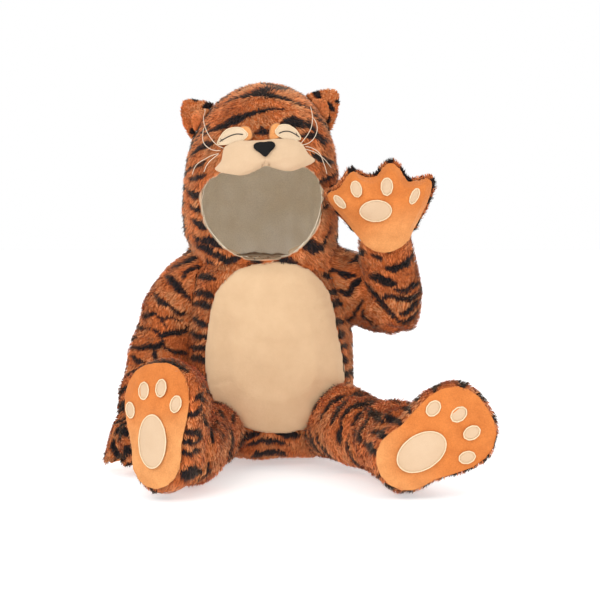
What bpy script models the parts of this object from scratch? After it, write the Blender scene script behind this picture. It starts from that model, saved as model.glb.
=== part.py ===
"""A plush tiger costume for an infant: hood, jumpsuit, mitts and shoe covers, hollow, in the pose of a seated
wearer with one paw raised. Metres, +Z up, the wearer faces -Y. The tables give heights above the seat, and the
empty called costume lowers everything so that the middle of the neck opening is the origin."""

import math
from collections import namedtuple

import bmesh
import bpy
import numpy as np
from mathutils import Matrix, Vector

# Cloth
FUR = 0.007  # backing and the pile that leans on it
PLUSH = 0.003  # short-pile cloth of the palms and soles
SATIN = 0.0015  # hood lining and pads
SEAM = 0.0003  # gap between neighbouring pieces
CLEAR = 0.0006  # gap round a piece that another passes over
NECK = Vector((0.0, 0.0, 0.245))  # middle of the neck opening, above the seat

# The head is turned and tipped a little about the neck
HEAD_YAW = math.radians(3.5)
HEAD_ROLL = math.radians(-5)
HEAD_SHIFT = 0.007

# Horizontal slices of the trunk and the hood. Front and back are depths from the plane y = 0.
Slice = namedtuple("Slice", "z x width front back")
TRUNK = (
    Slice(0.000, 0.004, 0.070, 0.058, 0.066),
    Slice(0.012, 0.004, 0.090, 0.080, 0.086),
    Slice(0.038, 0.006, 0.101, 0.098, 0.095),
    Slice(0.075, 0.006, 0.105, 0.108, 0.097),
    Slice(0.115, 0.006, 0.105, 0.109, 0.095),
    Slice(0.155, 0.005, 0.103, 0.105, 0.091),
    Slice(0.188, 0.003, 0.099, 0.101, 0.088),
    Slice(0.210, 0.001, 0.094, 0.096, 0.085),
    Slice(0.227, 0.000, 0.088, 0.091, 0.080),
    Slice(0.239, 0.000, 0.080, 0.083, 0.074),
    Slice(0.245, 0.000, 0.065, 0.065, 0.062),
)
HOOD = (
    Slice(0.221, 0.000, 0.0850, 0.078, 0.081),
    Slice(0.239, -0.002, 0.0865, 0.082, 0.085),
    Slice(0.261, -0.006, 0.0910, 0.084, 0.090),
    Slice(0.290, -0.009, 0.0975, 0.088, 0.098),
    Slice(0.325, -0.005, 0.0975, 0.093, 0.104),
    Slice(0.360, -0.002, 0.0950, 0.097, 0.106),
    Slice(0.392, 0.000, 0.0875, 0.095, 0.102),
    Slice(0.419, 0.003, 0.0735, 0.085, 0.091),
    Slice(0.440, 0.004, 0.0560, 0.068, 0.073),
    Slice(0.4535, 0.004, 0.0350, 0.045, 0.049),
    Slice(0.4605, 0.004, 0.0120, 0.016, 0.018),
)
OVAL = 2.25  # power of the slices' outline: 2 is an ellipse, and more is squarer

# Sections across the limbs. Side and face are half sizes, across and towards the front of the limb.
Ring = namedtuple("Ring", "x y z side face")
LOWERED_SLEEVE = (
    Ring(-0.036, 0.004, 0.214, 0.036, 0.042),
    Ring(-0.060, 0.003, 0.217, 0.043, 0.046),
    Ring(-0.088, 0.001, 0.207, 0.047, 0.047),
    Ring(-0.109, -0.006, 0.180, 0.044, 0.044),
    Ring(-0.123, -0.017, 0.149, 0.041, 0.041),
    Ring(-0.131, -0.033, 0.118, 0.040, 0.039),
    Ring(-0.137, -0.051, 0.093, 0.038, 0.037),
    Ring(-0.140, -0.068, 0.073, 0.035, 0.034),
    Ring(-0.141, -0.086, 0.057, 0.033, 0.032),
)
RAISED_UPPER_ARM = (
    Ring(0.034, 0.004, 0.218, 0.036, 0.042),
    Ring(0.062, 0.002, 0.222, 0.044, 0.046),
    Ring(0.095, -0.005, 0.213, 0.0435, 0.046),
    Ring(0.126, -0.020, 0.198, 0.0405, 0.043),
    Ring(0.150, -0.033, 0.188, 0.037, 0.039),
    Ring(0.162, -0.040, 0.184, 0.030, 0.031),
    Ring(0.170, -0.044, 0.181, 0.016, 0.017),
)
RAISED_FOREARM = (
    Ring(0.1590, -0.036, 0.1535, 0.012, 0.012),
    Ring(0.1590, -0.037, 0.1590, 0.024, 0.024),
    Ring(0.1585, -0.038, 0.1710, 0.0335, 0.034),
    Ring(0.1580, -0.043, 0.190, 0.0365, 0.036),
    Ring(0.1550, -0.051, 0.216, 0.036, 0.035),
    Ring(0.1500, -0.060, 0.243, 0.0345, 0.034),
    Ring(0.1450, -0.066, 0.275, 0.032, 0.032),
)
LEFT_LEG = (
    Ring(-0.050, -0.020, 0.046, 0.042, 0.043),
    Ring(-0.058, -0.070, 0.0415, 0.041, 0.0405),
    Ring(-0.065, -0.120, 0.039, 0.040, 0.0385),
    Ring(-0.073, -0.168, 0.039, 0.039, 0.038),
    Ring(-0.080, -0.212, 0.040, 0.038, 0.0375),
    Ring(-0.085, -0.242, 0.043, 0.036, 0.036),
    Ring(-0.088, -0.262, 0.0445, 0.035, 0.035),
)
RIGHT_LEG = (
    Ring(0.060, -0.018, 0.051, 0.050, 0.048),
    Ring(0.084, -0.062, 0.050, 0.049, 0.0485),
    Ring(0.107, -0.108, 0.047, 0.047, 0.046),
    Ring(0.129, -0.154, 0.0455, 0.044, 0.0445),
    Ring(0.148, -0.198, 0.045, 0.040, 0.041),
    Ring(0.158, -0.230, 0.045, 0.037, 0.037),
    Ring(0.163, -0.250, 0.046, 0.036, 0.036),
)

# The largest folds, as troughs in a limb: where along it and round it (0 is its side, 90 its front), how deep,
# how long round it and how wide along it, and how far it slants along the limb over a quarter turn
Fold = namedtuple("Fold", "at turn depth round wide slant")
LOWERED_FOLDS = (
    Fold(0.30, 30, 0.0070, 55, 0.030, 0.05),
    Fold(0.43, 150, 0.0070, 60, 0.032, -0.06),
    Fold(0.52, 50, 0.0080, 60, 0.030, 0.07),
    Fold(0.63, 140, 0.0070, 55, 0.028, -0.05),
    Fold(0.73, 40, 0.0070, 60, 0.028, 0.05),
    Fold(0.86, 110, 0.0050, 80, 0.028, 0.00),
    Fold(0.47, 270, 0.0060, 60, 0.035, 0.03),
    Fold(0.66, 230, 0.0060, 60, 0.030, -0.03),
)
UPPER_ARM_FOLDS = (
    Fold(0.42, 60, 0.0070, 60, 0.060, 0.10),
    Fold(0.62, 120, 0.0060, 55, 0.050, 0.08),
    Fold(0.52, 250, 0.0060, 60, 0.060, -0.05),
)
FOREARM_FOLDS = (
    Fold(0.50, 60, 0.0050, 60, 0.045, 0.05),
    Fold(0.68, 140, 0.0050, 60, 0.045, -0.06),
    Fold(0.60, 270, 0.0050, 70, 0.045, 0.03),
)
LEFT_LEG_FOLDS = (
    Fold(0.48, 15, 0.0090, 50, 0.100, 0.00),
    Fold(0.45, 75, 0.0060, 50, 0.040, 0.06),
    Fold(0.60, 120, 0.0060, 60, 0.035, -0.05),
    Fold(0.74, 40, 0.0060, 70, 0.032, 0.04),
)
RIGHT_LEG_FOLDS = (
    Fold(0.40, 100, 0.0080, 60, 0.040, 0.08),
    Fold(0.55, 50, 0.0070, 60, 0.035, -0.05),
    Fold(0.68, 130, 0.0070, 60, 0.032, 0.05),
)

# Outlines, as points across and up. A half outline runs down its right side and is mirrored.
OPENING_SHIFT = -0.0065
FACE_OPENING = (
    (0.000, 0.358), (0.040, 0.356), (0.066, 0.342), (0.073, 0.318), (0.068, 0.290), (0.053, 0.268),
    (0.028, 0.2520), (0.000, 0.2480),
)
BELLY = (
    (0.013, 0.2410), (0.052, 0.2320), (0.078, 0.2030), (0.087, 0.1580), (0.0950, 0.1130), (0.0925, 0.0780),
    (0.064, 0.0500), (0.022, 0.0385), (-0.025, 0.0475), (-0.057, 0.0730), (-0.0680, 0.1130), (-0.066, 0.1580),
    (-0.056, 0.2030), (-0.030, 0.2315),
)
BELLY_MIDDLE = (0.013, 0.138)
MUZZLE = (
    (0.000, 0.3895), (0.025, 0.3895), (0.040, 0.3840), (0.047, 0.3765), (0.053, 0.3675), (0.061, 0.3610),
    (0.056, 0.3560), (0.044, 0.3525), (0.028, 0.3490), (0.010, 0.3545), (0.000, 0.3585),
)
MUZZLE_MIDDLE = (0.0, 0.3705)
NOSE = (
    (0.000, 0.3870), (0.008, 0.3875), (0.0130, 0.3845), (0.0125, 0.3795), (0.0065, 0.3745), (0.0030, 0.3705),
    (0.000, 0.3690),
)
NOSE_MIDDLE = (0.0, 0.3795)
PAW_MITT = (
    (0.0665, 24), (0.0620, 31), (0.0450, 38), (0.0450, 51), (0.0520, 65), (0.0545, 77), (0.0470, 86),
    (0.0395, 94), (0.0375, 104), (0.0430, 117), (0.0550, 124), (0.0565, 134), (0.0545, 148), (0.0590, 156),
    (0.0670, 162), (0.0630, 169), (0.0560, 178), (0.0445, 202), (0.0445, 231), (0.0470, 252), (0.0480, 270),
    (0.0475, 288), (0.0475, 307), (0.0460, 325), (0.0490, 350), (0.0580, 10),
)  # radius and angle of each point round the palm, fingers up
SOLE = (
    (0.000, 0.0685), (0.025, 0.0645), (0.042, 0.048), (0.0465, 0.0235), (0.041, -0.002), (0.035, -0.024),
    (0.034, -0.045), (0.0215, -0.0625), (0.000, -0.0695),
)

# Pads on a palm or sole: middle across and up, half sizes across and up, and tilt in degrees
Pad = namedtuple("Pad", "x y wide tall tilt")
MITT_PADS = (
    Pad(-0.0085, 0.0015, 0.0195, 0.0130, 0),
    Pad(-0.0505, 0.0125, 0.0045, 0.0095, 40),
    Pad(-0.0300, 0.0275, 0.0065, 0.0095, 8),
    Pad(0.0065, 0.0290, 0.0070, 0.0100, -8),
    Pad(0.0390, 0.0150, 0.0050, 0.0100, -30),
)
SOLE_PADS = (
    Pad(0.000, -0.018, 0.0200, 0.0300, 0),
    Pad(-0.0335, 0.018, 0.0070, 0.0095, 20),
    Pad(-0.0130, 0.038, 0.0075, 0.0100, 6),
    Pad(0.0120, 0.0395, 0.0075, 0.0100, -6),
    Pad(0.0325, 0.021, 0.0070, 0.0095, -20),
)
PAD_THICK = 0.0015
ZIP_HALF = 0.014  # half width of the zip's tape
ZIP_TAPE = 0.0015

# Where a mitt or shoe cover stands: its middle, where its fingers or toes point, where its palm or sole faces,
# whether it is mirrored, how far it is squeezed across, and how full the fingers are on its palm side
Stance = namedtuple("Stance", "middle up facing mirror squeeze full")
RAISED_MITT = Stance((0.1425, -0.069, 0.3085), (-0.06, -0.16, 0.985), (0.0, -1.0, -0.16), 1, 1, 1)
LOWERED_MITT = Stance((-0.1420, -0.110, 0.0460), (-0.07, -0.77, -0.63), (0.60, 0.45, -0.65), -1, 0.86, 0.45)
LEFT_SHOE = Stance((-0.1115, -0.300, 0.0750), (-0.01, 0.20, 0.98), (-0.60, -0.78, 0.17), 1, 1, 1)
RIGHT_SHOE = Stance((0.1905, -0.300, 0.0570), (0.845, 0.05, 0.53), (0.12, -0.98, 0.0), 1, 1, 1)

RIM = 1.08  # size of the mitt's back against its palm
PALM_RISE = 0.028  # of the palm and of the mitt's back over the mitt's middle plane
WRIST_RISE = 0.0368  # the same at the wrist, where both pass round the sleeve
SHOE_DEPTH = 0.054  # from the sole back to the top of the foot
# Rings of the foot from its back to the sole: share of the sole's size, and of the way back
SHOE_SHAPE = ((0.45, 1.0), (0.74, 0.92), (0.92, 0.74), (0.99, 0.46), (1.0, 0.20), (0.985, 0.0))
SHOE_BULGE = 0.003  # of the upper past the sole's edge
SHAFT_EASE = 0.0008  # of the shaft round the leg
SHAFT_LEVEL = 0.004  # of the shaft past the leg's end at its full size
SHAFT_REACH = 0.013  # of the shaft into the foot, where it narrows to this half size
SHAFT_END = 0.031
SOLE_RISE = 0.005
BELLY_RISE = 0.009
MUZZLE_RISE = 0.008
WHISKER = 0.0007  # half thickness

# Whiskers on the head's right side, as points across and up from the middle of the muzzle
WHISKERS = (
    ((0.046, 0.006), (0.054, 0.012), (0.062, 0.022), (0.067, 0.033), (0.070, 0.045), (0.069, 0.057)),
    ((0.046, 0.005), (0.060, 0.006), (0.069, 0.011), (0.074, 0.020), (0.074, 0.029), (0.071, 0.036)),
    ((0.046, 0.004), (0.060, 0.001), (0.071, -0.005), (0.078, -0.013), (0.082, -0.025)),
    ((0.046, 0.002), (0.058, -0.003), (0.067, -0.011), (0.073, -0.019), (0.076, -0.028)),
)

Finish = namedtuple("Finish", "colour roughness")
FINISHES = {
    "tiger_fur": Finish((0.62, 0.20, 0.06, 1), 0.9),
    "orange_plush": Finish((0.86, 0.36, 0.09, 1), 0.8),
    "cream_fleece": Finish((0.83, 0.62, 0.38, 1), 0.85),
    "cream_satin": Finish((0.85, 0.70, 0.50, 1), 0.45),
    "zip_tape": Finish((0.70, 0.26, 0.08, 1), 0.7),
    "black_satin": Finish((0.01, 0.01, 0.01, 1), 0.4),
}


def clear_scene():
    for obj in list(bpy.data.objects):
        bpy.data.objects.remove(obj)


def material(name):
    """The named cloth as a Principled material, made once."""
    found = bpy.data.materials.get(name)
    if found:
        return found
    made = bpy.data.materials.new(name)
    made.use_nodes = True
    shader = made.node_tree.nodes["Principled BSDF"]
    shader.inputs["Base Color"].default_value = FINISHES[name].colour
    shader.inputs["Roughness"].default_value = FINISHES[name].roughness
    return made


def catmull(rows, count, closed=False):
    """count rows on the smooth curve through a table's rows."""
    rows = np.asarray(rows, float)
    n = len(rows)
    steps = np.linspace(0, n if closed else n - 1, count, endpoint=not closed)
    first = np.minimum(steps.astype(int), n - 1 if closed else n - 2)
    share = (steps - first)[:, None]
    picks = [first + k for k in (-1, 0, 1, 2)]
    a, b, c, d = [rows[k % n] if closed else rows[np.clip(k, 0, n - 1)] for k in picks]
    return 0.5 * (
        2 * b
        + (c - a) * share
        + (2 * a - 5 * b + 4 * c - d) * share**2
        + (3 * b - a - 3 * c + d) * share**3
    )


def slice_rings(rows, count, sides):
    """Rings of points up the trunk or the hood, one for each slice of the smoothed table."""
    turn = np.linspace(0, 2 * math.pi, sides, endpoint=False)
    across = np.sign(np.cos(turn)) * np.abs(np.cos(turn)) ** (2 / OVAL)
    deep = np.sign(np.sin(turn)) * np.abs(np.sin(turn)) ** (2 / OVAL)
    rings = []
    for z, x, width, front, back in catmull(rows, count):
        depth = np.where(deep < 0, front, back)
        rings.append(np.stack([x + width * across, depth * deep, np.full(sides, z)], 1))
    return np.array(rings)


def shrunk(rows, distance):
    """The slices of a rounded body that lies that far inside another."""
    widest = max(rows, key=lambda row: row.width)
    tall = 1 - distance / (rows[-1].z - widest.z)
    return [
        Slice(
            row.z if row.z < widest.z else widest.z + (row.z - widest.z) * tall,
            row.x,
            row.width * (1 - distance / widest.width),
            row.front * (1 - distance / widest.front),
            row.back * (1 - distance / widest.back),
        )
        for row in rows
    ]


def front_of(rows):
    """A function that gives how far in front of y = 0 the surface through these slices lies, at x and z."""
    table = catmull(rows, 80)

    def depth(x, z):
        middle, width, front = (np.interp(z, table[:, 0], table[:, k]) for k in (1, 2, 3))
        out = np.clip(np.abs(x - middle) / width, 0, 0.995)
        return front * (1 - out**OVAL) ** (1 / OVAL)

    return depth


def limb_rings(rows, count, sides, facing, folds=()):
    """Rings of points along a limb, with its folds pressed in. Facing is the way that its front looks."""
    table = catmull(rows, count)
    middle = table[:, :3]
    along = np.gradient(middle, axis=0)
    along /= np.linalg.norm(along, axis=1, keepdims=True)
    side = np.cross(along, facing)
    side /= np.linalg.norm(side, axis=1, keepdims=True)
    front = np.cross(side, along)
    turn = np.linspace(0, 2 * math.pi, sides, endpoint=False)
    share = np.linspace(0, 1, count)[:, None]
    trough = np.zeros((count, sides))
    for fold in folds:
        off = (turn[None, :] - math.radians(fold.turn) + math.pi) % (2 * math.pi) - math.pi
        away = share - fold.at - fold.slant * off / (math.pi / 2)
        reach = math.radians(fold.round)
        trough += fold.depth * np.exp(-((off / reach) ** 2) - (away / (fold.wide * 1.6)) ** 2)
    shape = (table[:, 3:4] - trough)[..., None] * np.cos(turn)[None, :, None] * side[:, None]
    shape += (table[:, 4:5] - trough)[..., None] * np.sin(turn)[None, :, None] * front[:, None]
    return middle[:, None] + shape


def moved_out(rings, distance):
    """The rings moved along the surface's normals, outwards or, if distance is negative, inwards."""
    along = np.gradient(rings, axis=0)
    around = np.roll(rings, -1, axis=1) - np.roll(rings, 1, axis=1)
    normal = np.cross(around, along)
    normal /= np.maximum(np.linalg.norm(normal, axis=2, keepdims=True), 1e-12)
    out = (normal * (rings - rings.mean(axis=1, keepdims=True))).sum()
    return rings + math.copysign(distance, distance * out) * normal


def lengthened(rings, before, after):
    """The rings with one more at each end, that far beyond it."""
    middle = rings.mean(axis=1)
    parts = [rings]
    if before:
        step = middle[0] - middle[1]
        parts.insert(0, rings[:1] + before * step / np.linalg.norm(step))
    if after:
        step = middle[-1] - middle[-2]
        parts.append(rings[-1:] + after * step / np.linalg.norm(step))
    return np.concatenate(parts)


def outline(points, count, mirrored=False):
    """A closed outline of count points through a few. A half outline is first mirrored."""
    points = [tuple(p) for p in points]
    if mirrored:
        points += [(-x, z) for x, z in points[-2:0:-1]]
    return catmull(points, count, closed=True)


def solid(name, rings, cloth=None):
    """A closed mesh through the rings, with a fan at each end."""
    rings = np.asarray(rings, float)
    count, sides = rings.shape[:2]
    points = np.concatenate([rings.reshape(-1, 3), rings[0].mean(0)[None], rings[-1].mean(0)[None]])
    faces = []
    for i in range(count - 1):
        for j in range(sides):
            k = (j + 1) % sides
            faces.append((i * sides + j, i * sides + k, (i + 1) * sides + k, (i + 1) * sides + j))
    for j in range(sides):
        k = (j + 1) % sides
        last = (count - 1) * sides
        faces.append((count * sides, k, j))
        faces.append((count * sides + 1, last + j, last + k))
    mesh = bpy.data.meshes.new(name)
    mesh.from_pydata(points.tolist(), [], faces)
    work = bmesh.new()
    work.from_mesh(mesh)
    bmesh.ops.recalc_face_normals(work, faces=work.faces)
    work.to_mesh(mesh)
    work.free()
    obj = bpy.data.objects.new(name, mesh)
    bpy.context.scene.collection.objects.link(obj)
    if cloth:
        mesh.materials.append(material(cloth))
    return obj


def box(name, low, high):
    """A block between two corners, as a cutter."""
    low, high = Vector(low), Vector(high)
    corners = [(low.x, low.y), (high.x, low.y), (high.x, high.y), (low.x, high.y)]
    return solid(name, [[(x, y, z) for x, y in corners] for z in (low.z, high.z)])


def volume(mesh):
    """The enclosed volume, or 0 for a mesh that isn't closed."""
    work = bmesh.new()
    work.from_mesh(mesh)
    closed = work.verts and all(edge.is_contiguous for edge in work.edges)
    inside = work.calc_volume() if closed else 0.0
    work.free()
    return inside


def combine(target, tool, operation, keep_tool=False):
    """Applies one Boolean to target, and removes the tool unless it is used again. Where the meshes touch in a
    way that spoils the exact result, the tool is moved by some hundredths of a millimetre, and then the other
    solver is used."""
    before, extra = volume(target.data), volume(tool.data)
    least = {"DIFFERENCE": before - extra, "UNION": max(before, extra), "INTERSECT": 0.0}[operation]
    most = {"DIFFERENCE": before, "UNION": before + extra, "INTERSECT": min(before, extra)}[operation]
    step = target.modifiers.new(operation.lower(), "BOOLEAN")
    step.operation, step.object = operation, tool
    for number, solver in enumerate(("EXACT", "EXACT", "EXACT", "MANIFOLD", "MANIFOLD")):
        step.solver = solver
        tool.location = Vector((0.4, 0.7, -0.6)) * 3e-5 * number
        graph = bpy.context.evaluated_depsgraph_get()
        result = bpy.data.meshes.new_from_object(target.evaluated_get(graph))
        if max(0.999 * least, 0.02 * before) < volume(result) < 1.001 * most:
            break
    tool.location = (0, 0, 0)
    target.modifiers.clear()
    target.data = result
    if not keep_tool:
        bpy.data.objects.remove(tool)
    return target


def keep_largest(obj):
    """Drops the scraps that a trim leaves beside the piece."""
    work = bmesh.new()
    work.from_mesh(obj.data)
    todo, islands = set(work.verts), []
    while todo:
        edge, island = [todo.pop()], set()
        while edge:
            vertex = edge.pop()
            island.add(vertex)
            near = {e.other_vert(vertex) for e in vertex.link_edges} & todo
            todo -= near
            edge.extend(near)
        islands.append(island)
    best = max(islands, key=len)
    bmesh.ops.delete(work, geom=[v for v in work.verts if v not in best])
    work.to_mesh(obj.data)
    work.free()


def copy_of(obj, name):
    made = obj.copy()
    made.data = obj.data.copy()
    made.name = name
    bpy.context.scene.collection.objects.link(made)
    return made


def head(points):
    """Points of the upright head, turned and tipped about the neck."""
    turn = Matrix.Rotation(HEAD_YAW, 3, "Z") @ Matrix.Rotation(HEAD_ROLL, 3, "Y")
    pivot = np.array(NECK)
    return (np.asarray(points) - pivot) @ np.array(turn).T + pivot + np.array((HEAD_SHIFT, 0, 0))


def wall(name, outer, inner, ends):
    """A fur wall between outer and inner rings. Ends is how far the hollow runs past the first and last ring."""
    piece = solid(name, outer, "tiger_fur")
    return combine(piece, solid(name + "_hollow", lengthened(inner, *ends)), "DIFFERENCE")


def sheet(name, edge, middle, base, thick, place, cloth, shares=(1.0, 0.85, 0.55, 0.2)):
    """A closed sheet over an outline, between the surface base and that surface moved out by thick.
    Base takes points across and up and gives heights, thick also takes the share of the way to the edge, and
    place turns points (across, up, height) into points of the costume."""
    middle = np.array(middle)
    rings = []
    for face, order in ((0.0, shares[::-1]), (1.0, shares)):
        for share in order:
            flat = middle + (edge - middle) * share
            height = base(flat[:, 0], flat[:, 1]) + face * thick(share, flat[:, 0], flat[:, 1])
            rings.append(place(np.column_stack([flat, height])))
    return solid(name, rings, cloth)


def facing_front(points):
    """(x, z, depth) as a point in front of the plane y = 0."""
    return np.stack([points[:, 0], -points[:, 2], points[:, 1]], 1)


def on_head(points):
    return head(facing_front(points))


def stance_place(stance):
    """A function that puts (across, up, out) into a mitt's or shoe cover's place."""
    up, out = Vector(stance.up).normalized(), Vector(stance.facing)
    out = (out - up * out.dot(up)).normalized()
    across = up.cross(out) * stance.mirror * stance.squeeze
    frame = np.array([across, up, out])

    def place(points):
        return np.asarray(points) @ frame + np.array(stance.middle)

    return place


def ellipse(pad, count):
    turn = np.linspace(0, 2 * math.pi, count, endpoint=False)
    x, y, tilt = pad.wide * np.cos(turn), pad.tall * np.sin(turn), math.radians(pad.tilt)
    return np.stack(
        [
            pad.x + x * math.cos(tilt) - y * math.sin(tilt),
            pad.y + x * math.sin(tilt) + y * math.cos(tilt),
        ],
        1,
    )


def share_out(edge, middle):
    """A function of points that gives how far each lies from the middle towards the edge, 1 at the edge."""
    around = edge - np.array(middle)
    angle = np.arctan2(around[:, 1], around[:, 0])
    order = np.argsort(angle)
    angle, radius = angle[order], np.hypot(*around.T)[order]

    def share(x, y):
        x, y = x - middle[0], y - middle[1]
        found = np.interp(np.arctan2(y, x), angle, radius, period=2 * math.pi)
        return np.hypot(x, y) / found

    return share


def flat_thick(thickness):
    return lambda share, x, y: np.full_like(x, thickness)


def heights(piece, place, points, side):
    """Heights of a piece's outer face (side 1) or inner face (side -1) at points across and up its place."""
    far, found = 0.2, []
    for across, up in points:
        start, end = (Vector(point) for point in place([(across, up, far * side), (across, up, 0.0)]))
        hit, point = piece.ray_cast(start, (end - start).normalized())[:2]
        found.append((far - (point - start).length) * side if hit else 0.0)
    return np.array(found)


def add_pads(name, pads, panel, place):
    """Pads on a palm or sole. Each follows the panel's facets and is then moved out until it just clears them."""
    out = np.subtract(*place([(0.0, 0.0, 1.0), (0.0, 0.0, 0.0)]))
    for number, pad in enumerate(pads):
        big = number == 0
        edge, middle = ellipse(pad, 14 if big else 9), np.array((pad.x, pad.y))
        piece = sheet(
            f"{name}_{'pad' if big else 'toe_pad'}_{number + 1}",
            edge,
            middle,
            lambda x, y: heights(panel, place, np.column_stack([x, y]), 1),
            lambda share, x, y: np.full_like(x, PAD_THICK * (1.25 - 0.45 * share**3)),
            place,
            "cream_fleece",
            (1.0, 0.5),
        )
        tests = np.concatenate([middle + (edge - middle) * share for share in (0.1, 0.3, 0.5, 0.7, 0.85, 0.99)])
        overlap = heights(panel, place, tests, 1) - heights(piece, place, tests, -1)
        piece.data.transform(Matrix.Translation(out * (overlap.max() + CLEAR)))


def make_trunk(bores):
    """Torso front with its belly panel, two torso backs and the zip between them."""
    inner = moved_out(slice_rings(TRUNK, 12, 20), -FUR)
    trunk = wall("trunk", slice_rings(TRUNK, 12, 22), inner, (0, 0.03))
    for bore in bores:
        combine(trunk, bore, "DIFFERENCE")
    edge = outline(BELLY, 28)
    side_seam, far = 0.004, 0.3
    pieces = {
        "torso_front": ((-far, -far, -far), (far, side_seam - SEAM / 2, far)),
        "torso_back_left": ((-far, side_seam + SEAM / 2, -far), (-SEAM / 2, far, far)),
        "torso_back_right": ((SEAM / 2, side_seam + SEAM / 2, -far), (far, far, far)),
    }
    for name, corners in pieces.items():
        piece = copy_of(trunk, name)
        combine(piece, box("half", *corners), "INTERSECT")
        if name == "torso_front":
            window = np.array(BELLY_MIDDLE) + (edge - BELLY_MIDDLE) * (1 + SEAM / 0.05)
            prism = [np.stack([window[:, 0], np.full(28, y), window[:, 1]], 1) for y in (-0.2, -0.012)]
            combine(piece, solid("window", prism), "DIFFERENCE")
        keep_largest(piece)
    bpy.data.objects.remove(trunk)
    sheet("belly_panel", edge, BELLY_MIDDLE, *belly_faces(0.0), facing_front, "cream_fleece", (1.0, 0.88, 0.6, 0.2))
    make_zip(inner)


def belly_faces(extra):
    """The belly panel's inner face and its thickness, made thicker by extra."""
    depth = front_of(TRUNK)

    def thick(share, x, z):
        return FUR - 0.002 + extra + BELLY_RISE * (1 - share**2.6) + 0 * x

    return lambda x, z: depth(x, z) - FUR + 0.001, thick


def body_to_trim():
    """The trunk and the stuffed belly as one block, a gap larger than both. Other pieces are trimmed to it."""
    trunk_body = solid("trunk_body", moved_out(slice_rings(TRUNK, 12, 22), SEAM))
    middle = np.array(BELLY_MIDDLE)
    edge = middle + (outline(BELLY, 28) - middle) * (1 + CLEAR / 0.05)
    levels = (1.0, 0.88, 0.6, 0.2)
    belly = sheet("belly_body", edge, middle, *belly_faces(CLEAR), facing_front, "cream_fleece", levels)
    return combine(trunk_body, belly, "UNION")


def make_zip(lined):
    """The tape of the zip inside the back, on the inner rings of the trunk's wall. The two torso backs meet
    over it."""
    rings = []
    for ring in lined[2:11]:
        across = ring[:, 0][4:7][::-1]
        x = np.array((-ZIP_HALF, ring[5, 0], ZIP_HALF))
        y = np.interp(x, across, ring[4:7, 1][::-1]) - 2 * SEAM
        near = [(x[k], y[k], ring[5, 2]) for k in range(3)]
        far = [(x[k], y[k] - ZIP_TAPE, ring[5, 2]) for k in (2, 1, 0)]
        rings.append(near + far)
    solid("zip", rings, "zip_tape")


def make_hood(below):
    """Front frame and back cup of the hood, their lining, and everything sewn on them."""
    outer = slice_rings(HOOD, 12, 24)
    hollow, lining_outer, lining_inner = (
        slice_rings(shrunk(HOOD, depth), 12, 18) for depth in (FUR, FUR + SEAM, FUR + SEAM + SATIN)
    )
    edge = outline(FACE_OPENING, 30, mirrored=True) + (OPENING_SHIFT, 0)
    prism = [np.stack([edge[:, 0], np.full(30, y), edge[:, 1]], 1) for y in (-0.2, -0.02)]
    shell = solid("hood", head(outer), "tiger_fur")
    combine(shell, solid("hollow", head(lengthened(hollow, 0.03, 0))), "DIFFERENCE")
    lining = solid("hood_lining", head(lining_outer), "cream_satin")
    combine(lining, solid("hollow", head(lengthened(lining_inner, 0.03, 0))), "DIFFERENCE")
    seam, far = 0.006, 0.4
    halves = []
    for name, low, high in (("hood_front", -far, seam - SEAM / 2), ("hood_back", seam + SEAM / 2, far)):
        corners = ((-far, low), (far, low), (far, high), (-far, high))
        block = [[(x, y, z) for x, y in corners] for z in (0, 2 * far)]
        half = combine(copy_of(shell, name), solid("half", head(block)), "INTERSECT")
        halves.append(half)
    bpy.data.objects.remove(shell)
    for piece in (*halves, lining):
        if piece is not halves[1]:
            combine(piece, solid("opening", head(prism)), "DIFFERENCE")
        for other in below:
            combine(piece, other, "DIFFERENCE", keep_tool=True)
        keep_largest(piece)
    make_ears(outer)
    make_face()


def make_ears(hood_rings):
    """Two stuffed ears in the hood's seam, each with a patch of plush in front."""
    arch = ((0.027, -0.016), (0.027, 0.006), (0.017, 0.027), (0.0, 0.037), (-0.017, 0.027), (-0.027, 0.006),
            (-0.027, -0.016))
    patch = ((0.015, 0.0045), (0.012, 0.014), (0.0, 0.022), (-0.012, 0.014), (-0.015, 0.0045), (0.0, 0.002))
    middle, root_tilt = (0.0, 0.008), math.radians(47)
    for side, word in ((-1, "left"), (1, "right")):
        up = (side * math.sin(root_tilt), 0.0, math.cos(root_tilt))
        facing = (side * -0.10, -1.0, 0.0)
        place_upright = stance_place(Stance((side * 0.0660 + 0.0025, -0.006, 0.4150), up, facing, 1, 1, 1))

        def place(points, put=place_upright):
            return head(put(points))

        edge = outline(arch, 20)
        share = share_out(edge, middle)

        def front(x, y, share=share):
            return 0.0035 + 0.0045 * np.clip(share(x, y), 0, 1) ** 2

        ear = sheet(
            f"ear_{word}",
            edge,
            middle,
            lambda x, y, share=share: 0.004 - 0.016 * np.sqrt(np.clip(1 - share(x, y) ** 2, 0, 1)),
            lambda s, x, y, f=front, g=share: f(x, y) - 0.004
            + 0.016 * np.sqrt(np.clip(1 - g(x, y) ** 2, 0, 1)) + 0 * x,
            place,
            "tiger_fur",
            (0.995, 0.85, 0.45),
        )
        skin = solid("skin", head(moved_out(hood_rings, SEAM)))
        combine(ear, skin, "DIFFERENCE", keep_tool=True)
        keep_largest(ear)
        lining = sheet(
            f"ear_lining_{word}",
            outline(patch, 14),
            middle,
            lambda x, y, f=front: f(x, y) + 0.0009,
            flat_thick(0.002),
            place,
            "orange_plush",
            (1.0, 0.5),
        )
        combine(lining, skin, "DIFFERENCE")
        keep_largest(lining)


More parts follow.
